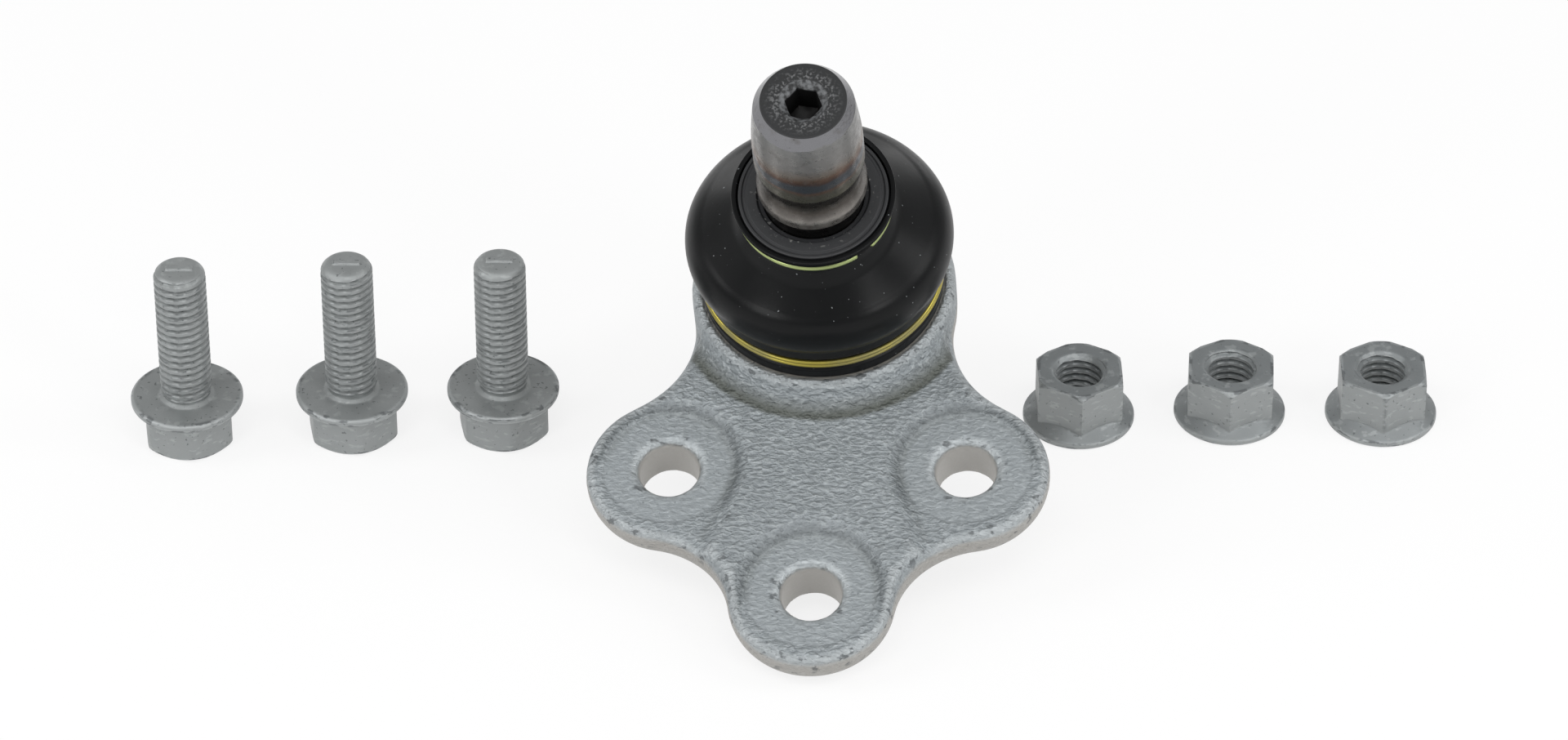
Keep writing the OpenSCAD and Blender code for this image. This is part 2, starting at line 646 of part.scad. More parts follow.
// Flange bolt standing on its head
module flange_bolt(i) {
    thread_r = bolt_d / 2;
    color("#a3a9ab") translate([BOLT_AT[i].x, BOLT_AT[i].y, 0]) rotate(BOLT_TURN[i]) {
        translate([0, 0, bolt_head_h]) mirror([0, 0, 1]) flange_body(bolt_head_h);
        translate([0, 0, bolt_head_h - eps]) cylinder(r = thread_r, h = bolt_len - tip_chamfer + eps);
        translate([0, 0, bolt_head_h + bolt_len - tip_chamfer])
            cylinder(r1 = thread_r, r2 = thread_r - tip_chamfer, h = tip_chamfer);
    }
}

// Flange nut standing on its flange
module flange_nut(i) {
    bore_r = nut_bore_d / 2;
    sink_r = nut_sink_d / 2;
    color("#a3a9ab") translate([NUT_AT[i].x, NUT_AT[i].y, 0]) rotate(NUT_TURN[i]) difference() {
        flange_body(nut_h);
        translate([0, 0, -eps]) cylinder(r = bore_r, h = nut_h + 2 * eps);
        translate([0, 0, nut_h - (sink_r - bore_r)])
            cylinder(r1 = bore_r, r2 = sink_r + eps, h = sink_r - bore_r + eps);
        translate([0, 0, -eps]) cylinder(r1 = sink_r + eps, r2 = bore_r, h = sink_r - bore_r + eps);
    }
}

housing();
ball_stud();
ball_seat_upper();
ball_seat_lower();
cover_plate();
dust_boot();
boot_lower_ring();
boot_upper_ring();
stud_seal_ring();
flange_bolt(0);  // flange_bolt_1
flange_bolt(1);  // flange_bolt_2
flange_bolt(2);  // flange_bolt_3
flange_nut(0);  // flange_nut_1
flange_nut(1);  // flange_nut_2
flange_nut(2);  // flange_nut_3
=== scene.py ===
# %% [markdown]
# # A suspension ball joint with its flange bolts and nuts
#
# The object is a forged flange with a ball housing, a steel ball stud that leans out of a black
# rubber boot, and the loose bolts and nuts that fix the flange. The solids come from the CAD
# frame. Here they get their finishes, and the pieces whose looks depend on fine shape, such as
# threads, rubber folds and spring wire, are worked out again as dense surfaces in their place.

import json
import math

import bmesh
import bpy
import numpy as np
from mathutils import Matrix, Vector


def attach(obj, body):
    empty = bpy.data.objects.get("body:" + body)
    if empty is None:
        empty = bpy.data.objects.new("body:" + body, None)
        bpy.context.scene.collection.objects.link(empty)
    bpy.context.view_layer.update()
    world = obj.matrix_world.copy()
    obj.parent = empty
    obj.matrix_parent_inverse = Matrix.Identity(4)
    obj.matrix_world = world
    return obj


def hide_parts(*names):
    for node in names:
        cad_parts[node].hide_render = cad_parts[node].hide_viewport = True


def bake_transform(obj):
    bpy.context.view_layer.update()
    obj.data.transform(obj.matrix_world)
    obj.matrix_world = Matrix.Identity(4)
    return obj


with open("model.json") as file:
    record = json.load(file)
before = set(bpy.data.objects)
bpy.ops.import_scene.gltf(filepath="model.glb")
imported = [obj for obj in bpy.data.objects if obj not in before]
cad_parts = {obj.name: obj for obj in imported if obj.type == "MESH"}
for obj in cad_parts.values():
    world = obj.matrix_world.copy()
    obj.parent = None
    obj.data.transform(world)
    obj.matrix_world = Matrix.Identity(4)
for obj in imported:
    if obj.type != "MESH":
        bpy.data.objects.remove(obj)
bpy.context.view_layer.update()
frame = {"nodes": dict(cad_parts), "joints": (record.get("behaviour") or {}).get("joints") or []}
nodes = frame["nodes"]
print("CAD nodes:", ", ".join(sorted(nodes)))

# %% [markdown]
# ## Where the pieces stand
#
# The joint lies tipped on the floor, so its pieces are easiest to describe in their own frames:
# one on the housing's axis and one on the stud's axis, both with their origin at the ball's
# centre. The record's joints hold those axes, and a frame is kept as an origin in millimetres
# and three unit columns. Bolts and nuts stand upright, so they are turned about z and moved.

# %% Frames of the housing, the stud and the fasteners
joints = {j["name"]: j for j in frame["joints"]}


def unit(v):
    """The vector divided by its length."""
    v = np.array(v, float)
    return v / np.linalg.norm(v)


ball_centre = np.array(joints["stud_tilt"]["pos_m"]) * 1000
side = unit(joints["stud_tilt"]["axis"])


def axes_about(z):
    """Columns x, y and z, with x across the joint and y = z cross x."""
    return np.column_stack([side, np.cross(z, side), z])


housing_axes = axes_about(unit(joints["tilt_direction"]["axis"]))
stud_axes = axes_about(unit(joints["stud_spin"]["axis"]))
# The bolt pads lie this far above the ball's centre, and most heights are counted from them
BALL_DROP = 6.0
# The cup's axis lies this far behind the line through the two side holes
BOSS_OFFSET = 38.0
# The stud leans a little to one side of straight ahead, so the flange's own x axis lies this far back
LEAN_TURN = math.radians(2.3)
plate_axes = housing_axes @ np.array(Matrix.Rotation(-LEAN_TURN, 3, "Z"))
pads_origin = ball_centre + plate_axes @ [0, -BOSS_OFFSET, BALL_DROP]
# Where the bolts and nuts stand on the floor
BOLT_AT = [(-113.3, 25.2), (-82.2, 27.0), (-53.6, 27.8)]
NUT_AT = [(55.7, 31.0), (84.5, 32.2), (113.3, 31.7)]
print("ball centre", ball_centre.round(2), "housing axis", housing_axes[:, 2].round(3))


def placed(points, origin, axes):
    """Local points times the frame's columns, plus its origin, all in millimetres."""
    return points @ np.asarray(axes).T + np.asarray(origin, float)


# %% [markdown]
# ## From a grid of points to a mesh
#
# Every new piece is one grid of points with rows along its profile and columns around it. Four
# neighbouring points make a face. The columns close on themselves, the rows may close too, as
# round a wire, and a first or last row that shrinks to a point gets a pole. A profile is written
# as a few corners, each with a radius of rounding, because no real edge is perfectly sharp and
# the small arcs are what catches the light.

# %% Grid to mesh
def new_object(name, data):
    """An object in the scene that shows this mesh, lamp or camera."""
    made = bpy.data.objects.new(name, data)
    bpy.context.scene.collection.objects.link(made)
    return made


def mesh_piece(name, points, close_rows=False, poles=(False, False), sharp=50):
    """Points of shape (rows, columns, 3) in millimetres become quads between rows i, i+1 and
    columns j, j+1 in metres; a pole is the mean of the end row, joined to it by triangles."""
    rows, cols = points.shape[:2]
    at = np.arange(rows * cols).reshape(rows, cols)
    if close_rows:
        at = np.vstack([at, at[:1]])
    right = np.roll(at, -1, axis=1)
    faces = np.stack([at[:-1], right[:-1], right[1:], at[1:]], -1).reshape(-1, 4).tolist()
    verts = points.reshape(-1, 3)
    for row, wanted in ((0, poles[0]), (-1, poles[1])):
        if wanted:
            verts = np.vstack([verts, points[row].mean(0)])
            pair = (right[row], at[row]) if row == 0 else (at[row], right[row])
            faces += np.stack([np.full(cols, len(verts) - 1), *pair], -1).tolist()
    mesh = bpy.data.meshes.new(name)
    mesh.from_pydata((verts / 1000).tolist(), [], faces)
    mesh.update()
    mesh.shade_smooth()
    mesh.set_sharp_from_angle(angle=math.radians(sharp))
    piece = new_object(name, mesh)
    print(f"{name}: {len(faces)} faces")
    return piece


# %% Profiles with rounded corners
ARC_POINTS = 7
# A corner takes up at most this share of its shorter side
SIDE_SHARE = 0.49
# Columns round every turned piece
ROUND = 144


def rounded_path(corners, step=0.5, closed=False):
    """Corners are (radius, height, rounding). A corner with turn a is cut back by rounding times
    tan(a / 2) and filled with an arc; straights are then cut into pieces no longer than step."""
    c = np.array([k[:2] for k in corners], float)
    r = np.array([k[2] if len(k) > 2 else 0 for k in corners], float)
    path = []
    for i in range(len(c)):
        before, after = c[i - 1], c[(i + 1) % len(c)]
        if r[i] == 0 or (not closed and i in (0, len(c) - 1)):
            path.append(c[i][None])
            continue
        u, v = unit(before - c[i]), unit(after - c[i])
        half = math.acos(np.clip(u @ v, -1, 1)) / 2
        shorter = min(np.linalg.norm(before - c[i]), np.linalg.norm(after - c[i]))
        cut = min(r[i] / math.tan(half), SIDE_SHARE * shorter)
        round_r = cut * math.tan(half)
        middle = c[i] + unit(u + v) * round_r / math.sin(half)
        a, b = c[i] + u * cut - middle, c[i] + v * cut - middle
        t = np.linspace(0, 1, ARC_POINTS)[:, None]
        arc = a * (1 - t) + b * t
        path.append(middle + arc / np.linalg.norm(arc, axis=1)[:, None] * round_r)
    path = np.vstack(path)
    ends = np.vstack([path, path[:1]]) if closed else path
    pieces = []
    for a, b in zip(ends[:-1], ends[1:]):
        length = np.linalg.norm(b - a)
        if length > 1e-6:
            share = np.linspace(0, 1, max(1, math.ceil(length / step)), endpoint=False)[:, None]
            pieces.append(a + (b - a) * share)
    return np.vstack(pieces) if closed else np.vstack(pieces + [path[-1:]])


def turned(profile):
    """A profile (radius, height) carried round the z axis: x = r cos a, y = r sin a, z = height."""
    a = np.linspace(0, 2 * np.pi, ROUND, endpoint=False)
    r, z = profile[:, 0, None], profile[:, 1, None]
    return np.stack([r * np.cos(a), r * np.sin(a), z + 0 * a], -1)


# %% [markdown]
# ## The ball stud
#
# A hardened steel pin with a ball at its hidden end. The knuckle clamps its ground land, and the
# pinch bolt lies in the groove. It is turned from one profile. Only the hexagon socket isn't
# round, so there the radius is the larger of the countersink's cone and the hexagon's own radius,
# apothem / cos(angle from the nearest flat's middle), which also gives the scalloped edge
# that a countersunk hexagon has.

# %% Ball stud
BALL_R = 13.5
# The ball ends in a flat below and in the neck above, at these shares of its radius
BALL_FLAT, BALL_NECK = -0.956, 0.846
LAND_R, STUD_TOP = 10.1, 79.3
# Heights above the ball's centre: the pinch groove, where the crown starts and where it ends
GROOVE_LOW, GROOVE_TOP, CROWN_LOW, CHAMFER_LOW = 53.8, 60.12, 65.95, 76.95
GROOVE_R, GROOVE_DEPTH, EASED, CROWN_FALL = 6.0, 0.9, 1.1, 0.85
# The socket: width over its flats, turn in degrees, and the radius and slope of its countersink
SOCKET_AF, SOCKET_TURN, SINK_R, SINK_SLOPE = 6.0, 11, 4.4, 1.15
# Depths under the top: the countersink, the socket's walls, and the cone that the drill left
SINK_DEPTH, SOCKET_DEPTH, DRILL_DEPTH = 1.5, 7, 8.6
DRILL_R, DRILL_SLOPE = 3.4, 1.9
# A forged hexagon's corners fade into a circle of so many apothems
CORNER_EASE = 1.11


def hexagon(angle, apothem, rounding=0.0):
    """Radius r of a hexagon with corners at 0, 60 ... degrees: apothem / cos of the angle from the
    nearest flat's middle. Rounding n blends it with the circle c: (r^-n + c^-n)^(-1 / n)."""
    off = (angle % (np.pi / 3)) - np.pi / 6
    sharp = apothem / np.cos(off)
    if rounding == 0:
        return sharp
    return (sharp ** -rounding + (apothem * CORNER_EASE) ** -rounding) ** (-1 / rounding)


def stud_points():
    """Rows run from the ball's flat up the outside, over the top and down into the socket."""
    from_pole = np.linspace(math.acos(BALL_FLAT), math.acos(BALL_NECK), 60)
    ball = np.column_stack([BALL_R * np.sin(from_pole), BALL_R * np.cos(from_pole)])
    z = np.linspace(GROOVE_LOW + EASED, GROOVE_TOP - 0.05, 24)
    off = z - (GROOVE_LOW + GROOVE_TOP) / 2
    groove = np.column_stack([LAND_R + GROOVE_R - GROOVE_DEPTH - np.sqrt(GROOVE_R ** 2 - off ** 2), z])
    neck = [(7.2, 13.5), (7.2, 22, 6), (9.3, 33, 6), (9.3, 50.7, 0.5), (LAND_R, 50.7, 0.35),
            (LAND_R, GROOVE_LOW - EASED, 4), tuple(groove[0])]
    s = np.linspace(0, 1, 40)
    crown = np.column_stack([LAND_R - CROWN_FALL * s ** 1.5, CROWN_LOW + (CHAMFER_LOW - CROWN_LOW) * s])
    land = np.column_stack([np.full(12, LAND_R), np.linspace(GROOVE_TOP + 0.3, CROWN_LOW - 0.3, 12)])
    top = rounded_path([(9.25, CHAMFER_LOW), (9.22, CHAMFER_LOW + 0.05, 0.12), (7.75, STUD_TOP, 0.2),
                        (4.6, STUD_TOP)], 0.25)
    outside = turned(np.vstack([ball, rounded_path(neck), groove[1:], land, crown, top]))
    a = np.linspace(0, 2 * np.pi, ROUND, endpoint=False)
    hexa = hexagon(a + np.radians(SOCKET_TURN), SOCKET_AF / 2)
    cone_z = np.linspace(STUD_TOP - 0.02, STUD_TOP - SINK_DEPTH, 16)[:, None]
    sink = np.maximum(SINK_R - (STUD_TOP - cone_z) * SINK_SLOPE, hexa)
    wall_z = np.linspace(STUD_TOP - 1.6, STUD_TOP - SOCKET_DEPTH, 10)[:, None]
    drill_z = np.linspace(STUD_TOP - 7.05, STUD_TOP - DRILL_DEPTH, 6)[:, None]
    drill = np.minimum(DRILL_R - (STUD_TOP - SOCKET_DEPTH - drill_z) * DRILL_SLOPE, hexa)
    r = np.vstack([sink, hexa + 0 * wall_z, drill])
    z = np.vstack([cone_z, wall_z, drill_z])
    return np.vstack([outside, np.stack([r * np.cos(a), r * np.sin(a), z + 0 * a], -1)])


stud = mesh_piece("ball_stud_turned", placed(stud_points(), ball_centre, stud_axes),
                  poles=(True, True), sharp=40)
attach(stud, "stud")
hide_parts("ball_stud")

# %% [markdown]
# ## The dust boot
#
# The boot is a moulded rubber sleeve. Its foot sits in the housing's groove, its neck holds the
# seal ring on the leaning stud, and the rubber in between bellies out. So one closed profile,
# outside and inside, is carried round, and each point is a mix of where the housing's frame and
# the stud's frame would put it. The share w of the stud rises from the widest circle to the neck
# as 3t^2 - 2t^3, which bends the sleeve without a kink.

# %% Dust boot
# The belly: its section's radius and height above the pads, and its widest radius
BULGE_R, BULGE_Z, BOOT_R = 7.7, 20.7, 24.9
BULGE_C = BOOT_R - BULGE_R
BELLY_WALL = 1.2
UP_RING_Z = 38.6


def bulge(first, last, r, count):
    """Arc of the belly's section between two angles: (c + r cos a, z + r sin a)."""
    a = np.radians(np.linspace(first, last, count))
    return np.column_stack([BULGE_C + r * np.cos(a), BULGE_Z + r * np.sin(a)])


def boot_profile():
    """Outside from the foot up to the rim, then inside back down."""
    foot = rounded_path([(21.9, 7.05), (22.6, 7.2, 0.3), (22.7, 9.4, 0.5), (21.88, 10.2, 0.25),
                         (21.88, 12.2, 0.25), (22.8, 13.0, 0.6), (23.2, 15.6)], 0.3)
    outside = bulge(-36, 54, BULGE_R, 50)
    neck = rounded_path([tuple(outside[-1] + [-0.4, 0.3]), (15.3, 32.6, 7), (13.45, 35.4, 3),
                         (13.23, 39.0, 0.3), (14.8, 39.4, 0.4), (15.1, 41.0, 0.5), (14.6, 41.02, 0.2),
                         (14.1, 40.95, 0.2), (14.1, 39.4, 0.2), (12.05, 39.35, 0.2), (12.05, 35.4, 1),
                         (14.8, 31.0, 5), (19.4, 27.0, 3)], 0.3)
    inside = bulge(46, -30, BULGE_R - BELLY_WALL, 30)
    hem = rounded_path([(21.6, 15.2), (21.6, 13.1, 0.2), (20.52, 12.8, 0.2), (20.52, 7.2, 0.2),
                        (21.4, 7.06)], 0.4)
    return np.vstack([foot, outside, neck, inside, hem])


def smooth_step(x):
    """3x^2 - 2x^3 with x held between 0 and 1."""
    x = np.clip(x, 0, 1)
    return x * x * (3 - 2 * x)


def leaning(profile):
    """Places a profile (radius, height above the pads) between the two frames by its height."""
    local = turned(profile + [0, BALL_DROP])
    w = smooth_step((profile[:, 1] - BULGE_Z) / (UP_RING_Z - 3 - BULGE_Z))[:, None, None]
    return placed(local, ball_centre, housing_axes) * (1 - w) + placed(local, ball_centre, stud_axes) * w


boot = mesh_piece("dust_boot_moulded", leaning(boot_profile()), close_rows=True, sharp=60)
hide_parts("dust_boot")
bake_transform(boot)

# %% [markdown]
# ## The clamping rings
#
# Each ring is spring wire. Below, two turns lie on each other and step over at the back; above,
# one open turn hooks under the boot's rim. A wire is a circle carried along a path, here with its
# own radius along the path, which closes the ends to round tips.

# %% Spring wire
def wire(path, radii, sides=16):
    """Circle of radius radii[i] in the plane across the path at point i, spanned by the outward
    direction from the z axis and by z itself."""
    out = path * [1, 1, 0]
    out = out / np.linalg.norm(out, axis=1)[:, None]
    a = np.linspace(0, 2 * np.pi, sides, endpoint=False)[None, :, None]
    ring = np.cos(a) * out[:, None] - np.sin(a) * np.array([0, 0, 1.0])
    return path[:, None] + ring * radii[:, None, None]


def tip(share, length):
    """1 along the wire, falling like a quarter circle to almost 0 over each end."""
    edge = np.clip(np.minimum(share, 1 - share) / length, 0, 1)
    return np.sqrt(np.maximum(1 - (1 - edge) ** 2, 1e-4))


# %% Lower ring
LOW_RING_Z = 11.2
# Radii of wire and coil, turns, and the angle in degrees where they start
LOW_WIRE_R, LOW_COIL_R, LOW_TURNS, LOW_START = 0.425, 22.42, 1.93, 95
# The coil climbs one wire's thickness from this share of each turn on, over the next stretch
CLIMB_AT, CLIMB = 0.86, 0.08
a = np.linspace(0, LOW_TURNS, int(360 * LOW_TURNS))
climbed = np.floor(a) + smooth_step((a % 1 - CLIMB_AT) / CLIMB)
turn = np.radians(LOW_START) + 2 * np.pi * a
low_path = np.column_stack([LOW_COIL_R * np.cos(turn), LOW_COIL_R * np.sin(turn),
                            LOW_RING_Z + BALL_DROP - 0.42 + 2 * LOW_WIRE_R * climbed])
low_wire = wire(low_path, LOW_WIRE_R * tip(a / LOW_TURNS, 0.004))
low_ring = mesh_piece("boot_lower_ring_wire", placed(low_wire, ball_centre, housing_axes),
                      poles=(True, True))
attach(low_ring, "boot")
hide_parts("boot_lower_ring")

# %% Upper ring
UP_WIRE_R, UP_COIL_R, UP_POINTS = 0.6, 13.9, 340
# Where the open turn's gap has its middle, and its width, in degrees
GAP_AT, GAP = -50, 12
turn = np.radians(np.linspace(GAP_AT + GAP / 2, GAP_AT + 360 - GAP / 2, UP_POINTS))
up_path = np.column_stack([UP_COIL_R * np.cos(turn), UP_COIL_R * np.sin(turn),
                           0 * turn + UP_RING_Z + BALL_DROP - 0.72])
up_wire = wire(up_path, UP_WIRE_R * tip(np.linspace(0, 1, UP_POINTS), 0.006))
up_ring = mesh_piece("boot_upper_ring_wire", placed(up_wire, ball_centre, stud_axes),
                     poles=(True, True))
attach(up_ring, "collar")
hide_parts("boot_upper_ring")

# %% [markdown]
# ## The seal ring
#
# A moulded plastic ring that runs on the stud's neck inside the boot's rim. Its flat top shows
# round the stud, with a fine groove near its edge.

# %% Seal ring
seal_profile = rounded_path([(9.36, 42.85, 0.1), (11.73, 42.85, 0.2), (11.73, 45.72, 0.1),
                             (13.8, 45.72, 0.15), (13.8, 47.0, 0.25), (13.2, 47.0, 0.1),
                             (13.0, 46.75, 0.1), (12.6, 46.75, 0.1), (12.4, 47.0, 0.1),
                             (10.4, 47.0, 0.3), (10.2, 46.6, 0.2), (9.36, 46.5, 0.2)],
                            0.25, closed=True)
seal = mesh_piece("stud_seal_ring_moulded", placed(turned(seal_profile), ball_centre, stud_axes),
                  close_rows=True)
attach(seal, "collar")
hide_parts("stud_seal_ring")

# %% [markdown]
# ## Bolts and nuts
#
# Flange bolts and nuts are cold headed and their threads are rolled. Both are worked out as one
# radius over angle and height. The hexagon's radius is the smaller of the hexagon and the chamfer
# cone, the flange is the larger of its cone and the hexagon, and a thread adds a rounded ridge
# that moves up by one pitch in each turn.

# %% Thread and head
PITCH, THREAD_DEPTH, THREAD_STEP = 1.5, 0.72, 0.125
HEX_APOTHEM, CHAMFER_SLOPE = 8.0, 1.32
# The flange: radius, height of its edge, and slope of the cone from there to the hexagon
FLANGE_R, EDGE_HEIGHT, SKIRT_SLOPE = 10.6, 1.6, 1.42
# How far the edge is rounded below, and by how much and how far above
LOW_ROUND, HIGH_ROUND, HIGH_REACH = 0.45, 0.5, 0.6


def ridge(turns):
    """Height of the ridge, 0 at the root and 1 at the crest, for a position in turns: a raised
    cosine steepened until it has a flat crest and root, as a rolled thread has."""
    return np.clip(0.8 + 0.9 * np.cos(2 * np.pi * turns), 0, 1)


def head_radius(a, up, height, end_r, rounding):
    """Outside of a flange head at height up above its bearing face, for the angles a. The hexagon
    ends in a cone that is end_r wide at its end face, and the flange's edge is rounded by the
    square of the way into each round."""
    body = np.minimum(hexagon(a, HEX_APOTHEM, rounding), end_r + (height - up) * CHAMFER_SLOPE)
    skirt = FLANGE_R - HIGH_ROUND - (up - EDGE_HEIGHT) * SKIRT_SLOPE
    below, above = 1 - up / LOW_ROUND, (up - EDGE_HEIGHT + HIGH_REACH) / HIGH_REACH
    edge = FLANGE_R - LOW_ROUND * np.clip(below, 0, 1) ** 2 - HIGH_ROUND * np.clip(above, 0, 1) ** 2
    return np.maximum(body, np.where(up < EDGE_HEIGHT, edge, skirt))


def head_rows(height):
    """Heights of the head's rows, closer together where its edges turn."""
    return np.concatenate([np.linspace(0, 1.8, 14), np.linspace(1.95, 4.4, 14),
                           np.linspace(4.7, height - 1.4, 6), np.linspace(height - 1.25, height, 9)])


# %% Bolts
COLUMNS = 96
ANGLES = np.linspace(0, 2 * np.pi, COLUMNS, endpoint=False)[None]
BOLT_HEAD, BOLT_LENGTH, BOLT_R = 10.0, 29.6, 4.925
# The hexagon's end radius, and how tightly its corners keep to their flats
HEAD_END_R, HEAD_ROUNDING = 7.75, 60
# The tip's rounding; the raised bar's height, half length, half width and width of its slope
TIP_R, BAR, BAR_LONG, BAR_WIDE, BAR_SLOPE = 1.75, 0.35, 2.6, 0.75, 0.2
# Under the head: the plain neck's radius and length, and the fillet's radius, slope and length
NECK_R, NECK_LENGTH, FILLET_R, FILLET_SLOPE, FILLET_LENGTH = 4.45, 1.2, 5.3, 1.6, 0.6
BOLT_TURNS, BOLT_PHASES = (38, 40, 41), (0.1, 0.55, 0.8)


def ring_rows(first_r, last_r, count, height):
    """Flat rows at one height, from one radius to another."""
    radii = np.linspace(first_r, last_r, count)[:, None]
    return np.broadcast_to(radii, (count, COLUMNS)), np.full((count, COLUMNS), float(height))


def bolt_points(phase, turn):
    """From the head's hexagon face on the floor up to the tip: the head upside down, the bearing
    face, the threaded shank, and a rounded tip whose end is raised in a bar 5.2 by 1.5 mm. The bar
    lies along the world's x axis: x cos(turn) - y sin(turn) is where a point's x will be."""
    up = head_rows(BOLT_HEAD)[::-1, None]
    head = head_radius(ANGLES, up, BOLT_HEAD, HEAD_END_R, HEAD_ROUNDING), BOLT_HEAD - up + 0 * ANGLES
    z = np.arange(0.0, BOLT_LENGTH - BAR, THREAD_STEP)[:, None]
    crest = 0.1 + 0.9 * np.clip((z - 0.4) / 1.6, 0, 1)
    r = BOLT_R - THREAD_DEPTH * (1 - ridge(z / PITCH - ANGLES / (2 * np.pi) + phase) * crest)
    t = np.clip((z - BOLT_LENGTH + BAR + TIP_R) / TIP_R, 0, 0.999)
    r = np.minimum(r, BOLT_R - 0.05 - TIP_R * (1 - np.sqrt(1 - t * t)))
    r = np.maximum(r, np.where(z < NECK_LENGTH, NECK_R, 0))
    r = np.maximum(r, np.where(z < FILLET_LENGTH, FILLET_R - z * FILLET_SLOPE, 0))
    end = BOLT_HEAD + BOLT_LENGTH - BAR
    parts = [ring_rows(0.5, 7.6, 8, 0.02), head, ring_rows(10.0, 5.6, 5, BOLT_HEAD),
             (r, z + BOLT_HEAD + 0 * ANGLES), ring_rows(3.2, 0.15, 26, end)]
    r, z = (np.vstack([p[k] for p in parts]) for k in (0, 1))
    x, y = r * np.cos(ANGLES), r * np.sin(ANGLES)
    along, across = x * np.cos(turn) - y * np.sin(turn), x * np.sin(turn) + y * np.cos(turn)
    bar = (np.clip((BAR_LONG - np.abs(along)) / BAR_SLOPE, 0, 1)
           * np.clip((BAR_WIDE - np.abs(across)) / BAR_SLOPE, 0, 1))
    return np.stack([x, y, z + BAR * bar * (z > end - 0.01) * (r < 3.3)], -1)


bolts = []
for i, ((x, y), turn, phase) in enumerate(zip(BOLT_AT, np.radians(BOLT_TURNS), BOLT_PHASES), 1):
    bolt = mesh_piece(f"flange_bolt_{i}_threaded",
                      placed(bolt_points(phase, turn), [x, y, 0], Matrix.Rotation(turn, 3, "Z")),
                      poles=(True, True), sharp=35)
    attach(bolt, f"flange_bolt_{i}")
    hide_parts(f"flange_bolt_{i}")
    bolts.append(bolt)

# %% Nuts
NUT_HEIGHT = 11.2
# The hexagon's end radius; the thread's root radius and depth; the countersinks' radius
NUT_END_R, ROOT_R, NUT_THREAD, MOUTH_R = 8.3, 5.05, 0.8, 5.3
NUT_TURNS, NUT_PHASES = (31.5, 27, 30), (0.2, 0.6, 0.9)


def nut_points(phase):
    """A closed profile: bearing face outwards, flange, hexagon, top face, countersink and down
    the thread."""
    up = head_rows(NUT_HEIGHT)[:, None]
    outside = head_radius(ANGLES, up, NUT_HEIGHT, NUT_END_R, 0), up + 0 * ANGLES
    z = np.arange(NUT_HEIGHT - 0.1, 0.1, -THREAD_STEP)[:, None]
    mouth = np.maximum(MOUTH_R - (NUT_HEIGHT - z), MOUTH_R - z)
    thread = ROOT_R - NUT_THREAD * ridge(z / PITCH - ANGLES / (2 * np.pi) + phase)
    parts = [ring_rows(5.6, 10.0, 6, 0), outside, ring_rows(7.5, 5.5, 5, NUT_HEIGHT),
             (np.maximum(thread, mouth), z + 0 * ANGLES)]
    r, z = (np.vstack([p[k] for p in parts]) for k in (0, 1))
    return np.stack([r * np.cos(ANGLES), r * np.sin(ANGLES), z], -1)


nuts = []
for i, ((x, y), turn, phase) in enumerate(zip(NUT_AT, np.radians(NUT_TURNS), NUT_PHASES), 1):
    nut = mesh_piece(f"flange_nut_{i}_threaded",
                     placed(nut_points(phase), [x, y, 0], Matrix.Rotation(turn, 3, "Z")),
                     close_rows=True, sharp=35)
    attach(nut, f"flange_nut_{i}")
    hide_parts(f"flange_nut_{i}")
    nuts.append(nut)

# %% [markdown]
# ## The forged housing
#
# A drop forging has no sharp edge where the dies shaped it: web, spot faces and boss flow into each
# other. The solid has those places as crisp corners. So a merged copy of it is rebuilt from small
# cubes, called voxels, and its points are moved towards the mean of their neighbours twelve times,
# which melts the corners. Bored and turned places, such as the bolt holes and the rim under the
# boot, are held back, because a cutting tool made them after the forging.

# %% Voxel copy of the housing
VOXEL = 0.55


def voxel_copy(node, name, voxel):
    """A merged copy of the node's mesh, rebuilt as the surface of a grid of voxels."""
    mesh = node.data.copy()
    work = bmesh.new()
    work.from_mesh(mesh)
    bmesh.ops.remove_doubles(work, verts=work.verts, dist=1e-6)
    work.to_mesh(mesh)
    work.free()
    piece = new_object(name, mesh)
    remesh = piece.modifiers.new("voxels", "REMESH")
    remesh.mode, remesh.voxel_size = "VOXEL", voxel / 1000
    rebuilt = piece.evaluated_get(bpy.context.evaluated_depsgraph_get())
    piece.data = bpy.data.meshes.new_from_object(rebuilt)
    piece.modifiers.clear()
    print(f"{name}: {len(piece.data.polygons)} faces")
    return piece


def table(items, field, width, kind=float):
    """One field of all of a mesh's points, edges or normals, as rows of width numbers."""
    values = np.empty(len(items) * width, kind)
    items.foreach_get(field, values)
    return values.reshape(-1, width)


def store(mesh, name, values):
    """Keeps one number for each point under a name that a material can read."""
    mesh.attributes.new(name, "FLOAT", "POINT").data.foreach_set("value", values)
    print(f"{name}: from {values.min():.2f} to {values.max():.2f}")


forging = voxel_copy(nodes["housing"], "housing_forged", VOXEL)
points = table(forging.data.vertices, "co", 3) * 1000
edges = table(forging.data.edges, "vertices", 2, int)
count = len(points)

# %% Machined places and soft corners
HOLES = np.array([(-27.4, 0.0), (27.4, 0.0), (0.0, -27.2)])
# How far from a hole's axis its bore and its coined spot face reach, and where the turned rim is
HOLE_REACH, COIN_REACH = 6.9, 12.5
RIM_REACH, RIM_LOW = 22.9, 6.0
ROUNDS = 12
near = np.concatenate([edges, edges[:, ::-1]]).T
neighbours = np.bincount(near[0], minlength=count)[:, None]


def pull(values):
    """Mean of the neighbours' values minus the own value, for every column."""
    total = [np.bincount(near[0], weights=column[near[1]], minlength=count) for column in values.T]
    return np.stack(total, -1) / neighbours - values


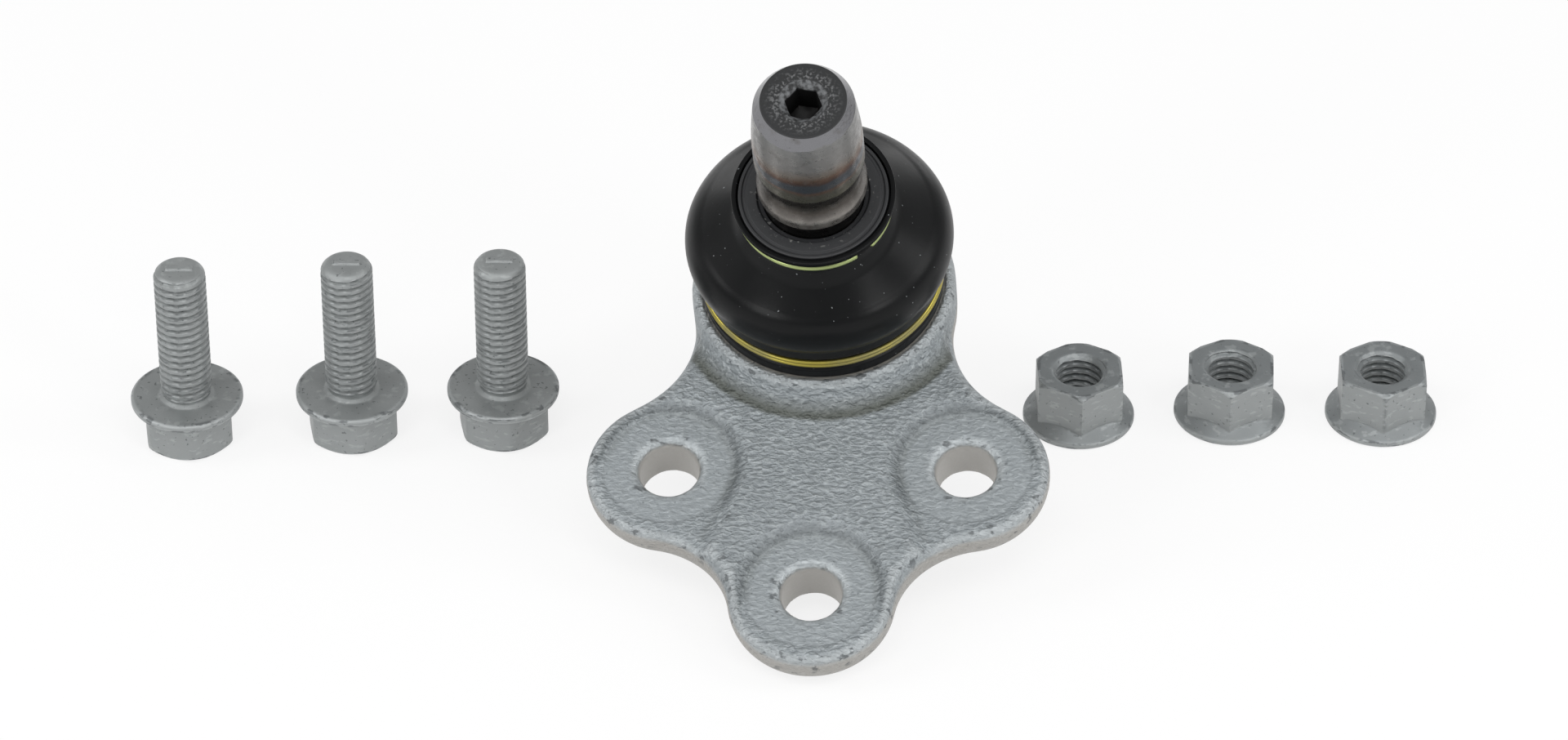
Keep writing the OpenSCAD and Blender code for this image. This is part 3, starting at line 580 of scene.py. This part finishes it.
local = (points - pads_origin) @ plate_axes
from_hole = np.min([np.hypot(*(local[:, :2] - hole).T) for hole in HOLES], axis=0)
from_boss = np.hypot(local[:, 0], local[:, 1] - BOSS_OFFSET)
bored = smooth_step((HOLE_REACH + 0.4 - from_hole) / 0.8)
turned_rim = smooth_step((RIM_REACH + 0.4 - from_boss) / 0.8) * smooth_step((local[:, 2] - RIM_LOW) / 0.6)
coined = smooth_step((COIN_REACH - from_hole) / 0.6)
machined = np.maximum(np.maximum(bored, turned_rim), 0.8 * coined)
for _ in range(ROUNDS):
    points += 0.5 * (1 - 0.9 * machined)[:, None] * pull(points)
forging.data.vertices.foreach_set("co", (points / 1000).ravel())
forging.data.update()
forging.data.shade_smooth()

# %% [markdown]
# ## Marks for the finish
#
# The coating looks different where it is thin, rubbed or cut through, and some places get painted
# shade: the foot fillet, the slope up from each spot face and the inner corners. Those places
# follow the shape, so each point of the forging stores how much it belongs to each of them, worked
# out from its distance to a hole or to the cup, its height, its normal and the bend of the surface.
# A material reads such numbers with an Attribute node.

# %% What the surface does at each point
normals = table(forging.data.vertex_normals, "vector", 3)
upward = normals @ plate_axes[:, 2]
curve = -4 * np.sum(pull(points) * normals, axis=1) / VOXEL ** 2
for _ in range(3):
    curve += pull(curve[:, None])[:, 0]
marks = {
    # The sloping foot round the machined rim, darkest at its outer edge: painted shade and a painted
    # dark reflection in the concave fillet
    "foot": (smooth_step((28.9 - from_boss) / 0.8) * np.clip((from_boss - 24.8) / 2.6, 0, 1)
             * smooth_step((4.6 - local[:, 2]) / 1.2) * smooth_step(local[:, 2] - 0.4)),
    # Above 0 on an edge, below 0 in a corner
    "edge": np.clip(curve * 2.2, -1, 1),
    # Faces below the pads that look sideways or down
    "wall": smooth_step((0.42 - upward) / 0.3) * smooth_step((0.5 - local[:, 2]) / 1.5),
    # The holes' walls, the spot faces round them, and the slope from a spot face up to the web;
    # the slope's darkening is painted shade
    "bare": smooth_step((5.95 - from_hole) / 0.4),
    "pad": smooth_step((12.6 - from_hole) / 0.8),
    "step": (smooth_step((from_hole - 11.95) / 0.35) * np.clip((15.2 - from_hole) / 2.9, 0, 1) ** 1.4
             * smooth_step((local[:, 2] - 0.1) / 0.3) * smooth_step((upward - 0.6) / 0.2)),
    # The chamfer and the rubbed ring round a hole's mouth
    "ring": smooth_step((from_hole - 5.3) / 0.3) * smooth_step((7.0 - from_hole) / 0.3),
    "turned": turned_rim}
for name, values in marks.items():
    store(forging.data, name, values)
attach(forging, "housing")
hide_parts("housing")

# %% [markdown]
# ## Edges of the bolts and nuts
#
# Handling nicks the outer edges of bolts and nuts. Their outer edges also get a painted highlight,
# and their inner corners painted shade. These follow the bend of the surface, so each point stores
# that too, weaker on the threads, which are nothing but edges. The nuts also store how far a point
# looks up, because their upper faces look darker in the photograph; that darkening is painted shade.

# %% Where a mesh bends
THREAD_REACH, THREAD_SHARE = 5.3, 0.3


def bending(mesh):
    """For each point the mean over its edges of (n1 - n2) . (p1 - p2) / |p1 - p2|^2, which is one
    over the radius of the bend in millimetres: above 0 on an edge, below 0 in a corner."""
    p, n = table(mesh.vertices, "co", 3) * 1000, table(mesh.vertex_normals, "vector", 3)
    a, b = table(mesh.edges, "vertices", 2, int).T
    bend = np.sum((n[a] - n[b]) * (p[a] - p[b]), axis=1) / np.sum((p[a] - p[b]) ** 2, axis=1)
    total = np.bincount(a, bend, len(p)) + np.bincount(b, bend, len(p))
    return total / (np.bincount(a, minlength=len(p)) + np.bincount(b, minlength=len(p)))


for piece, axis_at in zip(bolts + nuts, BOLT_AT + NUT_AT):
    print(piece.name)
    from_axis = np.hypot(*(table(piece.data.vertices, "co", 3)[:, :2] * 1000 - axis_at).T)
    share = np.where(from_axis > THREAD_REACH, 1.0, THREAD_SHARE)
    store(piece.data, "edge", np.clip(bending(piece.data) * share, -2, 2))
    if piece in nuts:
        # How far a nut's face looks up, for painted shade on its upper faces
        looks_up = table(piece.data.vertex_normals, "vector", 3)[:, 2]
        store(piece.data, "upward", np.clip(looks_up, 0, 1))

# %% [markdown]
# ## Colours and nodes
#
# Colours are written as the hex values that a picture shows, and one function turns them to the
# linear values that the renderer mixes. One more function adds a node with its settings and links
# and gives back an output, so each finish reads as a short list of steps. Two patterns return in
# most finishes: spots of a real size in millimetres, and colours laid over each other.

# %% Helpers for finishes
SMOOTH, TIMES = {"interpolation_type": "SMOOTHSTEP"}, {"operation": "MULTIPLY"}


def linear(hex_colour):
    """sRGB hex to linear: c / 12.92 below 0.04045, else ((c + 0.055) / 1.055) ^ 2.4."""
    c = np.array([int(hex_colour[k:k + 2], 16) for k in (1, 3, 5)]) / 255
    return (*np.where(c <= 0.04045, c / 12.92, ((c + 0.055) / 1.055) ** 2.4), 1.0)


def fill(node, inputs):
    """Gives each input, by its name or number, a link, a value or a colour written in hex."""
    for key, value in inputs.items():
        if isinstance(value, bpy.types.NodeSocket):
            node.id_data.links.new(value, node.inputs[key])
        else:
            node.inputs[key].default_value = linear(value) if isinstance(value, str) else value


def add(tree, kind, inputs=None, output=0, **settings):
    """Adds a node of a kind with its settings, fills its inputs and gives back one output."""
    node = tree.nodes.new("ShaderNode" + kind)
    for field, value in settings.items():
        setattr(node, field, value)
    fill(node, inputs or {})
    return node.outputs[output]


def finish(name, sockets):
    """A new material, its nodes and its Principled shader, which starts from these values."""
    material = bpy.data.materials.new(name)
    material.use_nodes = True
    shader = material.node_tree.nodes["Principled BSDF"]
    fill(shader, sockets)
    return material, material.node_tree, shader


def coat(piece, material):
    """Gives the piece this one material."""
    piece.data.materials.clear()
    piece.data.materials.append(material)
    print(f"{piece.name}: {material.name}, {len(material.node_tree.nodes)} nodes")


# %% Places and patterns
def own_place(tree, origin, axes):
    """Object coordinates turned into a local frame, in metres: a Mapping node of type Texture
    subtracts the place and undoes the turn."""
    turn = Matrix(np.asarray(axes).tolist()).to_euler()
    return add(tree, "Mapping", {"Vector": add(tree, "TexCoord", output="Object"), "Rotation": turn,
                                 "Location": Vector(np.asarray(origin) / 1000)}, vector_type="TEXTURE")


def spots(tree, place, size, detail, low, high):
    """A share from 0 to 1: noise whose spots are about size millimetres wide, as its scale on
    metres is 1000 / size, in a smooth step from its level low to its level high."""
    noise = add(tree, "TexNoise", {"Vector": place, "Scale": 1000 / size, "Detail": detail})
    return add(tree, "MapRange", {"Value": noise, "From Min": low, "From Max": high}, **SMOOTH)


def painted(tree, colour, layers):
    """Lays colours over the first one. Each layer is (share, strength, colour) and covers what is
    under it by share times strength. A Mix node has colours at inputs 6 and 7 and output 2, and
    plain numbers at inputs 2 and 3 and output 0."""
    for share, strength, over in layers:
        cover = add(tree, "Math", {0: share, 1: strength}, **TIMES)
        colour = add(tree, "Mix", {0: cover, 6: colour, 7: over}, 2, data_type="RGBA")
    return colour


# %% [markdown]
# ## Zinc flake coating
#
# The forging and the fasteners are dipped in zinc flake paint and baked. Zinc flakes in a thin
# binder look like a mid grey, slightly cool, with a dull metal shine. The forging under it was
# shot blasted after scale had left it leathery, so it shows shallow wrinkles under 1 mm wide,
# drawn out across the joint. Where the coating is thin, on walls and in bores, a warmer grey comes
# through, and handling has nicked the outer edges.

# %% Coating on the forging
zinc, tree, shader = finish("zinc_flake_on_forging", {"Metallic": 0.35, "Roughness": 0.5})
spot = own_place(tree, pads_origin, plate_axes)
wrinkled = add(tree, "Mapping", {"Vector": spot, "Scale": (0.6, 1.0, 1.0)})
grain = add(tree, "TexNoise", {"Vector": wrinkled, "Scale": 1000 / 0.78, "Detail": 1, "Distortion": 0.4})
grit = add(tree, "TexNoise", {"Vector": spot, "Scale": 1000 / 0.35, "Detail": 2})
cloud = add(tree, "TexNoise", {"Vector": spot, "Scale": 1000 / 9, "Detail": 4})
mark = {name: add(tree, "Attribute", output="Fac", attribute_name=name) for name in marks}
# Painted highlight on the wrinkles' peaks and painted shade in their troughs; from the bend, painted
# shade in corners and a painted highlight on outer edges
grain_peak_highlight, grain_trough_shade, corner, edge_highlight, worn = (
    add(tree, "MapRange", {"Value": value, "From Min": low, "From Max": high}, **SMOOTH)
    for value, low, high in ((grain, 0.52, 0.72), (grain, 0.46, 0.3), (mark["edge"], -0.12, -0.7),
                             (mark["edge"], 0.25, 0.8), (mark["edge"], 0.1, 0.4)))
nick = add(tree, "Math", {0: spots(tree, wrinkled, 1.7, 4, 0.59, 0.66), 1: worn}, **TIMES)
pock = spots(tree, spot, 0.8, 1, 0.70, 0.75)
frost = add(tree, "Math", {0: spots(tree, spot, 1.1, 3, 0.42, 0.58), 1: mark["ring"]}, **TIMES)
tint = painted(tree, "#868c8f", [
    (cloud, 1, "#999fa2"), (grain_peak_highlight, 0.35, "#c3c9cb"), (grain_trough_shade, 0.3, "#62676a"),
    (mark["pad"], 0.35, "#a2a8ab"), (mark["wall"], 0.8, "#a5a19b"), (mark["turned"], 1, "#8f8c85"),
    # Painted shade in concave corners, in the foot fillet and on the slope up from each spot face
    (corner, 0.65, "#565a57"), (mark["foot"], 0.8, "#45483f"), (mark["step"], 0.75, "#4e5354"),
    # Painted highlight on outer edges; the nicks and pocks after it are wear
    (edge_highlight, 0.3, "#c0c4c5"), (nick, 0.75, "#4d5153"), (pock, 0.6, "#5c6163"),
    (frost, 0.3, "#c6ccce"), (mark["bare"], 1, "#b3b1ad")])

# %% Relief of the forging
height = add(tree, "Math", {0: grit, 1: 0.2, 2: grain}, operation="MULTIPLY_ADD")
cut = add(tree, "Math", {0: mark["bare"], 1: mark["turned"]}, operation="MAXIMUM")
# Cutting leaves a tenth of the wrinkles, pressing a spot face half
for share, left in ((cut, 0.1), (mark["pad"], 0.5)):
    calm = add(tree, "MapRange", {"Value": share, "To Min": 1.0, "To Max": left}, **SMOOTH)
    height = add(tree, "Math", {0: height, 1: calm}, **TIMES)
rough = add(tree, "MapRange", {"Value": grit, "From Min": 0.3, "From Max": 0.7, "To Min": 0.4,
                               "To Max": 0.55}, **SMOOTH)
bump = add(tree, "Bump", {"Height": height, "Distance": 0.0006})
fill(shader, {"Base Color": tint, "Roughness": rough, "Normal": bump})
coat(forging, zinc)

# %% Coating on the fasteners
plated, tree, shader = finish("zinc_flake_on_fasteners", {"Metallic": 0.5, "Roughness": 0.46})
spot = add(tree, "TexCoord", output="Object")
drawn, flat = (add(tree, "Mapping", {"Vector": spot, "Scale": (across, across, 1.6)})
               for across in (0.6, 0.5))
cloud = add(tree, "TexNoise", {"Vector": spot, "Scale": 1000 / 4, "Detail": 4})
grit = add(tree, "TexNoise", {"Vector": spot, "Scale": 1000 / 0.45, "Detail": 2})
upward, edge = (add(tree, "Attribute", output="Fac", attribute_name=name) for name in ("upward", "edge"))
# From the bend: a painted highlight on edges, painted shade in inner corners and thread roots, and worn
# edges for scuffs
edge_highlight, corner, worn = (
    add(tree, "MapRange", {"Value": edge, "From Min": low, "From Max": high}, **SMOOTH)
    for low, high in ((0.25, 0.8), (-0.2, -0.9), (0.15, 0.5)))
speck = spots(tree, spot, 0.8, 2, 0.66, 0.72)
streak = spots(tree, drawn, 1.3, 4, 0.56, 0.68)
scuff = add(tree, "Math", {0: spots(tree, flat, 1.3, 4, 0.53, 0.62), 1: worn}, **TIMES)
tint = painted(tree, "#878b8b", [
    # The nuts' upward faces are painted darker: painted shade
    (cloud, 1, "#9c9f9f"), (upward, 0.42, "#5d6468"), (speck, 0.7, "#55595b"), (streak, 0.28, "#bcc0c0"),
    # Painted highlight on outer edges and thread crests
    (edge_highlight, 0.3, "#b8bcbd"), (corner, 0.25, "#54585a"), (scuff, 0.7, "#505456")])
rough = add(tree, "MapRange", {"Value": cloud, "From Min": 0.3, "From Max": 0.7, "To Min": 0.4,
                               "To Max": 0.55}, **SMOOTH)
bump = add(tree, "Bump", {"Height": grit, "Strength": 0.35, "Distance": 0.0001})
fill(shader, {"Base Color": tint, "Roughness": rough, "Normal": bump})
for piece in bolts + nuts:
    coat(piece, plated)

# %% [markdown]
# ## Stud steel
#
# The stud is turned and ground alloy steel. Induction hardening warmed its land and left bands of
# oxide that run from straw and brown to blue, each at its own height. A colour ramp over the height
# draws them, with the height shaken a little by noise, because no band is even. The same ramp paints
# shade and light: dark painted shade on the neck under the collar and in the groove under the land,
# and a painted lighter band where the collar and the groove's lower flank face the light. The saw-cut
# top was left black from the forge and is scratched round its socket, and the socket itself is
# painted near black as painted shade.

# %% Heat bands and painted light
steel, tree, shader = finish("ground_stud_steel", {"Metallic": 0.9, "Roughness": 0.32})
spot = own_place(tree, ball_centre, stud_axes)
up = add(tree, "SeparateXYZ", {0: spot}, "Z")
wobble = add(tree, "TexNoise", {"Vector": spot, "Scale": 1000 / 5, "Detail": 3})
shake = add(tree, "Math", {0: wobble, 1: 0.5}, operation="SUBTRACT")
# The noise shakes a band by about 1 mm: 2.2 mm times its distance from the middle
height = add(tree, "Math", {0: shake, 1: 0.0022, 2: up}, operation="MULTIPLY_ADD")
# Oxide tints on the land, with painted shade on the neck under the collar (50.3) and in the groove under
# the land (55.2 to 60.2), and a painted lighter band on the collar (50.7 to 52.6)
HEAT_TINT_AND_PAINTED_LIGHT_BANDS = [(50.3, "#1f1e1d"), (50.7, "#908d88"), (52.6, "#8f8b86"), (53.8, "#6f6b67"),
              (55.2, "#4a4642"), (57.5, "#38342f"), (60.2, "#3a3630"), (60.6, "#4f4d41"),
              (62.6, "#504d44"), (63.3, "#5c483b"), (64.1, "#3f4348"), (65.9, "#3f4348"),
              (66.7, "#49362e"), (67.6, "#5f4a3d"), (68.8, "#716860"), (70.8, "#777573"),
              (76.8, "#797978"), (77.0, "#7d7d80")]
low_h, high_h = HEAT_TINT_AND_PAINTED_LIGHT_BANDS[0][0] - 1, HEAT_TINT_AND_PAINTED_LIGHT_BANDS[-1][0] + 1
band = add(tree, "MapRange", {"Value": height, "From Min": low_h / 1000, "From Max": high_h / 1000})
bands = add(tree, "ValToRGB", {"Fac": band})
stops = bands.node.color_ramp.elements
for k, (at, colour) in enumerate(HEAT_TINT_AND_PAINTED_LIGHT_BANDS):
    stop = stops[k] if k < 2 else stops.new(1.0)
    stop.position, stop.color = (at - low_h) / (high_h - low_h), linear(colour)
print("heat bands:", len(stops))

# %% Stud steel
level = add(tree, "VectorMath", {0: spot, 1: (1, 1, 0)}, **TIMES)
reach = add(tree, "VectorMath", {0: level}, "Value", operation="LENGTH")
# Heights or distances from the axis in mm where each place begins and is full
top_face, in_socket, sunk, near_socket, chamfer = (
    add(tree, "MapRange", {"Value": value, "From Min": low / 1000, "From Max": high / 1000}, **SMOOTH)
    for value, low, high in ((up, STUD_TOP - 0.25, STUD_TOP - 0.1), (reach, 4.6, 4.2),
                             (up, STUD_TOP - 1.6, STUD_TOP - 0.9), (reach, 7.6, 5.0), (up, 76.8, 77.0)))
black_top = add(tree, "Math", {0: top_face, 1: in_socket}, operation="MAXIMUM")
fine = add(tree, "TexNoise", {"Vector": spot, "Scale": 1000 / 0.55, "Detail": 3, "Distortion": 0.3})
scratch = add(tree, "MapRange", {"Value": fine, "From Min": 0.48, "From Max": 0.66}, **SMOOTH)
scratch = add(tree, "Math", {0: scratch, 1: near_socket}, **TIMES)
blows = add(tree, "TexNoise", {"Vector": spot, "Scale": 1000 / 0.9, "Detail": 4})
battered = add(tree, "MapRange", {"Value": blows, "From Min": 0.35, "From Max": 0.65, "To Min": 0.1},
               **SMOOTH)
for place in (in_socket, sunk):
    battered = add(tree, "Math", {0: battered, 1: place}, **TIMES)
tint = painted(tree, bands, [
    (spots(tree, spot, 2.2, 4, 0.55, 0.75), 0.45, "#5e5b58"),
    (spots(tree, spot, 0.7, 3, 0.66, 0.72), 0.7, "#3c3a38"),
    (black_top, 1, painted(tree, "#2a2b2c", [(scratch, 1, "#6a6b6c")])),
    # The socket is painted near black: painted shade in the recess
    (in_socket, 1, "#121212"), (battered, 1, "#6f7173")])

# %% Shine of the stud
haze = add(tree, "TexNoise", {"Vector": spot, "Scale": 1000 / 1.5, "Detail": 3})
rough = add(tree, "MapRange", {"Value": haze, "From Min": 0.3, "From Max": 0.7, "To Min": 0.24,
                               "To Max": 0.42}, **SMOOTH)
# The polished chamfer is the smoothest place and the black top the dullest
for share, strength, value in ((chamfer, 0.6, 0.16), (black_top, 1, 0.55)):
    cover = add(tree, "Math", {0: share, 1: strength}, **TIMES)
    rough = add(tree, "Mix", {0: cover, 2: rough, 3: value})
metal = add(tree, "Mix", {0: black_top, 2: 0.9, 3: 0.3})
# Turning marks 0.25 mm apart run round the stud: noise stretched across the axis
round_it = add(tree, "Mapping", {"Vector": spot, "Scale": (0.02, 0.02, 1.0)})
lathe = add(tree, "TexNoise", {"Vector": round_it, "Scale": 1000 / 0.25, "Detail": 2})
dents = add(tree, "TexNoise", {"Vector": spot, "Scale": 1000 / 0.8, "Detail": 3})
relief = add(tree, "Math", {0: lathe, 1: 0.25, 2: dents}, operation="MULTIPLY_ADD")
bump = add(tree, "Bump", {"Height": relief, "Strength": 0.25, "Distance": 0.00015})
fill(shader, {"Base Color": tint, "Roughness": rough, "Metallic": metal, "Normal": bump})
coat(stud, steel)

# %% [markdown]
# ## Rubber, plastics and wire
#
# Chloroprene rubber comes out of its mould almost black with a satin skin, and it holds dust: a
# few pale specks and a thin grey film. The seal ring is a little more matt. The wire rings are
# spring steel, passivated yellow and green over zinc, so the colour is in the skin and dulls where
# the rubber has rubbed it.

# %% Boot rubber
rubber, tree, shader = finish("moulded_chloroprene", {"Roughness": 0.33, "Specular IOR Level": 0.16})
spot = own_place(tree, ball_centre, housing_axes)
film = add(tree, "TexNoise", {"Vector": spot, "Scale": 1000 / 14, "Detail": 5})
skin = add(tree, "TexNoise", {"Vector": spot, "Scale": 1000 / 0.9, "Detail": 3})
dust = spots(tree, spot, 0.62, 1, 0.768, 0.79)
tint = painted(tree, "#08090a", [(film, 1, "#101112"), (dust, 0.8, "#84888a")])
rough = add(tree, "MapRange", {"Value": film, "From Min": 0.3, "From Max": 0.7, "To Min": 0.28,
                               "To Max": 0.38}, **SMOOTH)
bump = add(tree, "Bump", {"Height": skin, "Strength": 0.12, "Distance": 0.0001})
fill(shader, {"Base Color": tint, "Roughness": rough, "Normal": bump})
coat(boot, rubber)

# %% Seal ring plastic
plastic, tree, shader = finish("moulded_black_polyamide", {"Roughness": 0.5})
spot = own_place(tree, ball_centre, stud_axes)
level = add(tree, "VectorMath", {0: spot, 1: (1, 1, 0)}, **TIMES)
reach = add(tree, "VectorMath", {0: level}, "Value", operation="LENGTH")
# Crumbs of dirt gather on the inner 11 to 12 mm, next to the stud
inner = add(tree, "MapRange", {"Value": reach, "From Min": 0.0122, "From Max": 0.0108}, **SMOOTH)
crumbs = add(tree, "Math", {0: spots(tree, spot, 0.9, 3, 0.62, 0.70), 1: inner}, **TIMES)
cloud = add(tree, "TexNoise", {"Vector": spot, "Scale": 1000 / 6, "Detail": 4})
skin = add(tree, "TexNoise", {"Vector": spot, "Scale": 1000 / 0.5, "Detail": 2})
tint = painted(tree, "#232426", [(cloud, 1, "#2e2f31"), (crumbs, 0.7, "#7c7c79")])
bump = add(tree, "Bump", {"Height": skin, "Strength": 0.15, "Distance": 0.0001})
fill(shader, {"Base Color": tint, "Normal": bump})
coat(seal, plastic)

# %% Ring wire
for piece, name, bright, dull, axes in (
        (low_ring, "yellow_passivated_wire", "#aa9d47", "#918a58", housing_axes),
        (up_ring, "green_passivated_wire", "#aab67b", "#93a06c", stud_axes)):
    passivated, tree, shader = finish(name, {"Metallic": 0.75, "Roughness": 0.36})
    spot = own_place(tree, ball_centre, axes)
    # Rubbed patches several millimetres long, and very fine drawing marks
    patch = spots(tree, spot, 9.0, 3, 0.42, 0.66)
    grit = add(tree, "TexNoise", {"Vector": spot, "Scale": 1000 / 0.3, "Detail": 2})
    rough = add(tree, "MapRange", {"Value": patch, "To Min": 0.3, "To Max": 0.5}, **SMOOTH)
    bump = add(tree, "Bump", {"Height": grit, "Strength": 0.2, "Distance": 0.00005})
    fill(shader, {"Base Color": painted(tree, bright, [(patch, 1, dull)]), "Roughness": rough,
                  "Normal": bump})
    coat(piece, passivated)

# %% [markdown]
# ## Hidden pieces
#
# Two bearing shells of natural acetal, creamy and a little glossy, hold the ball, and a pressed
# steel cover with the same zinc flake coating closes the cup. Only the cover shows, from below.

# %% Bearing shells and cover
acetal, tree, shader = finish("natural_acetal", {"Roughness": 0.38})
spot = own_place(tree, ball_centre, housing_axes)
cloud = add(tree, "TexNoise", {"Vector": spot, "Scale": 1000 / 7, "Detail": 3})
skin = add(tree, "TexNoise", {"Vector": spot, "Scale": 1000 / 0.8, "Detail": 2})
bump = add(tree, "Bump", {"Height": skin, "Strength": 0.1, "Distance": 0.0001})
fill(shader, {"Base Color": painted(tree, "#d2ccba", [(cloud, 1, "#e0dac9")]), "Normal": bump})
for name in ("ball_seat_upper", "ball_seat_lower"):
    coat(nodes[name], acetal)
pressed, tree, shader = finish("zinc_coated_cover_steel", {"Metallic": 0.7, "Roughness": 0.42})
spot = own_place(tree, ball_centre, housing_axes)
cloud = add(tree, "TexNoise", {"Vector": spot, "Scale": 1000 / 3, "Detail": 4})
skin = add(tree, "TexNoise", {"Vector": spot, "Scale": 1000 / 0.6, "Detail": 2})
speck = spots(tree, spot, 0.9, 2, 0.66, 0.72)
tint = painted(tree, "#82888b", [(cloud, 1, "#9aa0a3"), (speck, 0.6, "#5c6163")])
bump = add(tree, "Bump", {"Height": skin, "Strength": 0.3, "Distance": 0.0001})
fill(shader, {"Base Color": tint, "Normal": bump})
coat(nodes["cover_plate"], pressed)

# %% [markdown]
# ## Floor, light and camera
#
# The photograph is a cut-out on white: a camera about 1.35 m away and 37 degrees above the
# floor, with a long lens, and large soft lamps left and right. The floor glows for the camera and
# for reflections only, so it looks white and adds no light to the object.

# %% Floor
floor_mesh = bpy.data.meshes.new("floor")
floor_mesh.from_pydata([(-4, -4, 0), (4, -4, 0), (4, 4, 0), (-4, 4, 0)], [], [(0, 1, 2, 3)])
floor = new_object("floor", floor_mesh)
paper, tree, shader = finish("white_paper", {"Roughness": 0.9, "Base Color": "#f4f4f4"})
looking = add(tree, "LightPath", output="Is Camera Ray")
for kind in ("Is Glossy Ray", "Is Transmission Ray"):
    ray = add(tree, "LightPath", output=kind)
    looking = add(tree, "Math", {0: looking, 1: ray}, operation="MAXIMUM")
# A fifth of the paper stays visible and keeps the object's shadow
glow_share = add(tree, "Math", {0: looking, 1: 0.8}, **TIMES)
glow = add(tree, "Emission", {"Strength": 1.0})
seen = add(tree, "MixShader", {"Fac": glow_share, 1: shader.outputs[0], 2: glow})
fill(tree.nodes["Material Output"], {"Surface": seen})
coat(floor, paper)

# %% Light
world = bpy.data.worlds.new("studio")
world.use_nodes = True
fill(world.node_tree.nodes["Background"], {"Color": "#ffffff", "Strength": 0.45})
bpy.context.scene.world = world
# Each lamp's place, the height it faces over the middle, its size and its watts
for name, place, aim, size, power in (
        ("left_softbox", (-1.0, -0.1, 0.8), 0.03, (0.5, 0.9), 4.0),
        ("right_softbox", (1.0, -0.1, 0.8), 0.03, (0.5, 0.9), 4.0),
        ("front_left_softbox", (-0.85, -0.95, 0.6), 0.03, (0.4, 0.5), 3.5),
        ("front_right_softbox", (0.85, -0.95, 0.6), 0.03, (0.4, 0.5), 3.5),
        ("back_left_softbox", (-0.6, 1.04, 0.22), 0.03, (0.4, 0.25), 0.5),
        ("back_right_softbox", (0.5, 1.08, 0.22), 0.03, (0.4, 0.25), 0.5),
        ("top_softbox", (0.0, -0.7, 1.3), 0.02, (1.0, 0.7), 6.0)):
    lamp = bpy.data.lights.new(name, "AREA")
    lamp.shape, lamp.size, lamp.size_y, lamp.energy = "RECTANGLE", *size, power
    box = new_object(name, lamp)
    box.location = place
    box.rotation_euler = (Vector((0, 0, aim)) - Vector(place)).to_track_quat("-Z", "Y").to_euler()
    print(f"{name}: {power} W")

# %% Camera
# The fit to the photo gave the lens in pixels, the camera's place and its aim
FOCAL_PIXELS, PHOTO_WIDTH, SENSOR = 8572, 1920, 36
EYE_AT, AIM_AT = (-0.0004, -1.02511, 0.8157), (-0.0004, 0.04559, 0)
lens = bpy.data.cameras.new("camera")
lens.sensor_width = SENSOR
lens.lens = FOCAL_PIXELS / PHOTO_WIDTH * SENSOR
eye = new_object("camera", lens)
eye.location = EYE_AT
eye.rotation_euler = (Vector(AIM_AT) - eye.location).to_track_quat("-Z", "Y").to_euler()
bpy.context.scene.camera = eye
bpy.context.scene.view_settings.view_transform = "Standard"
print("camera", round((Vector(AIM_AT) - eye.location).length, 3), "m away")
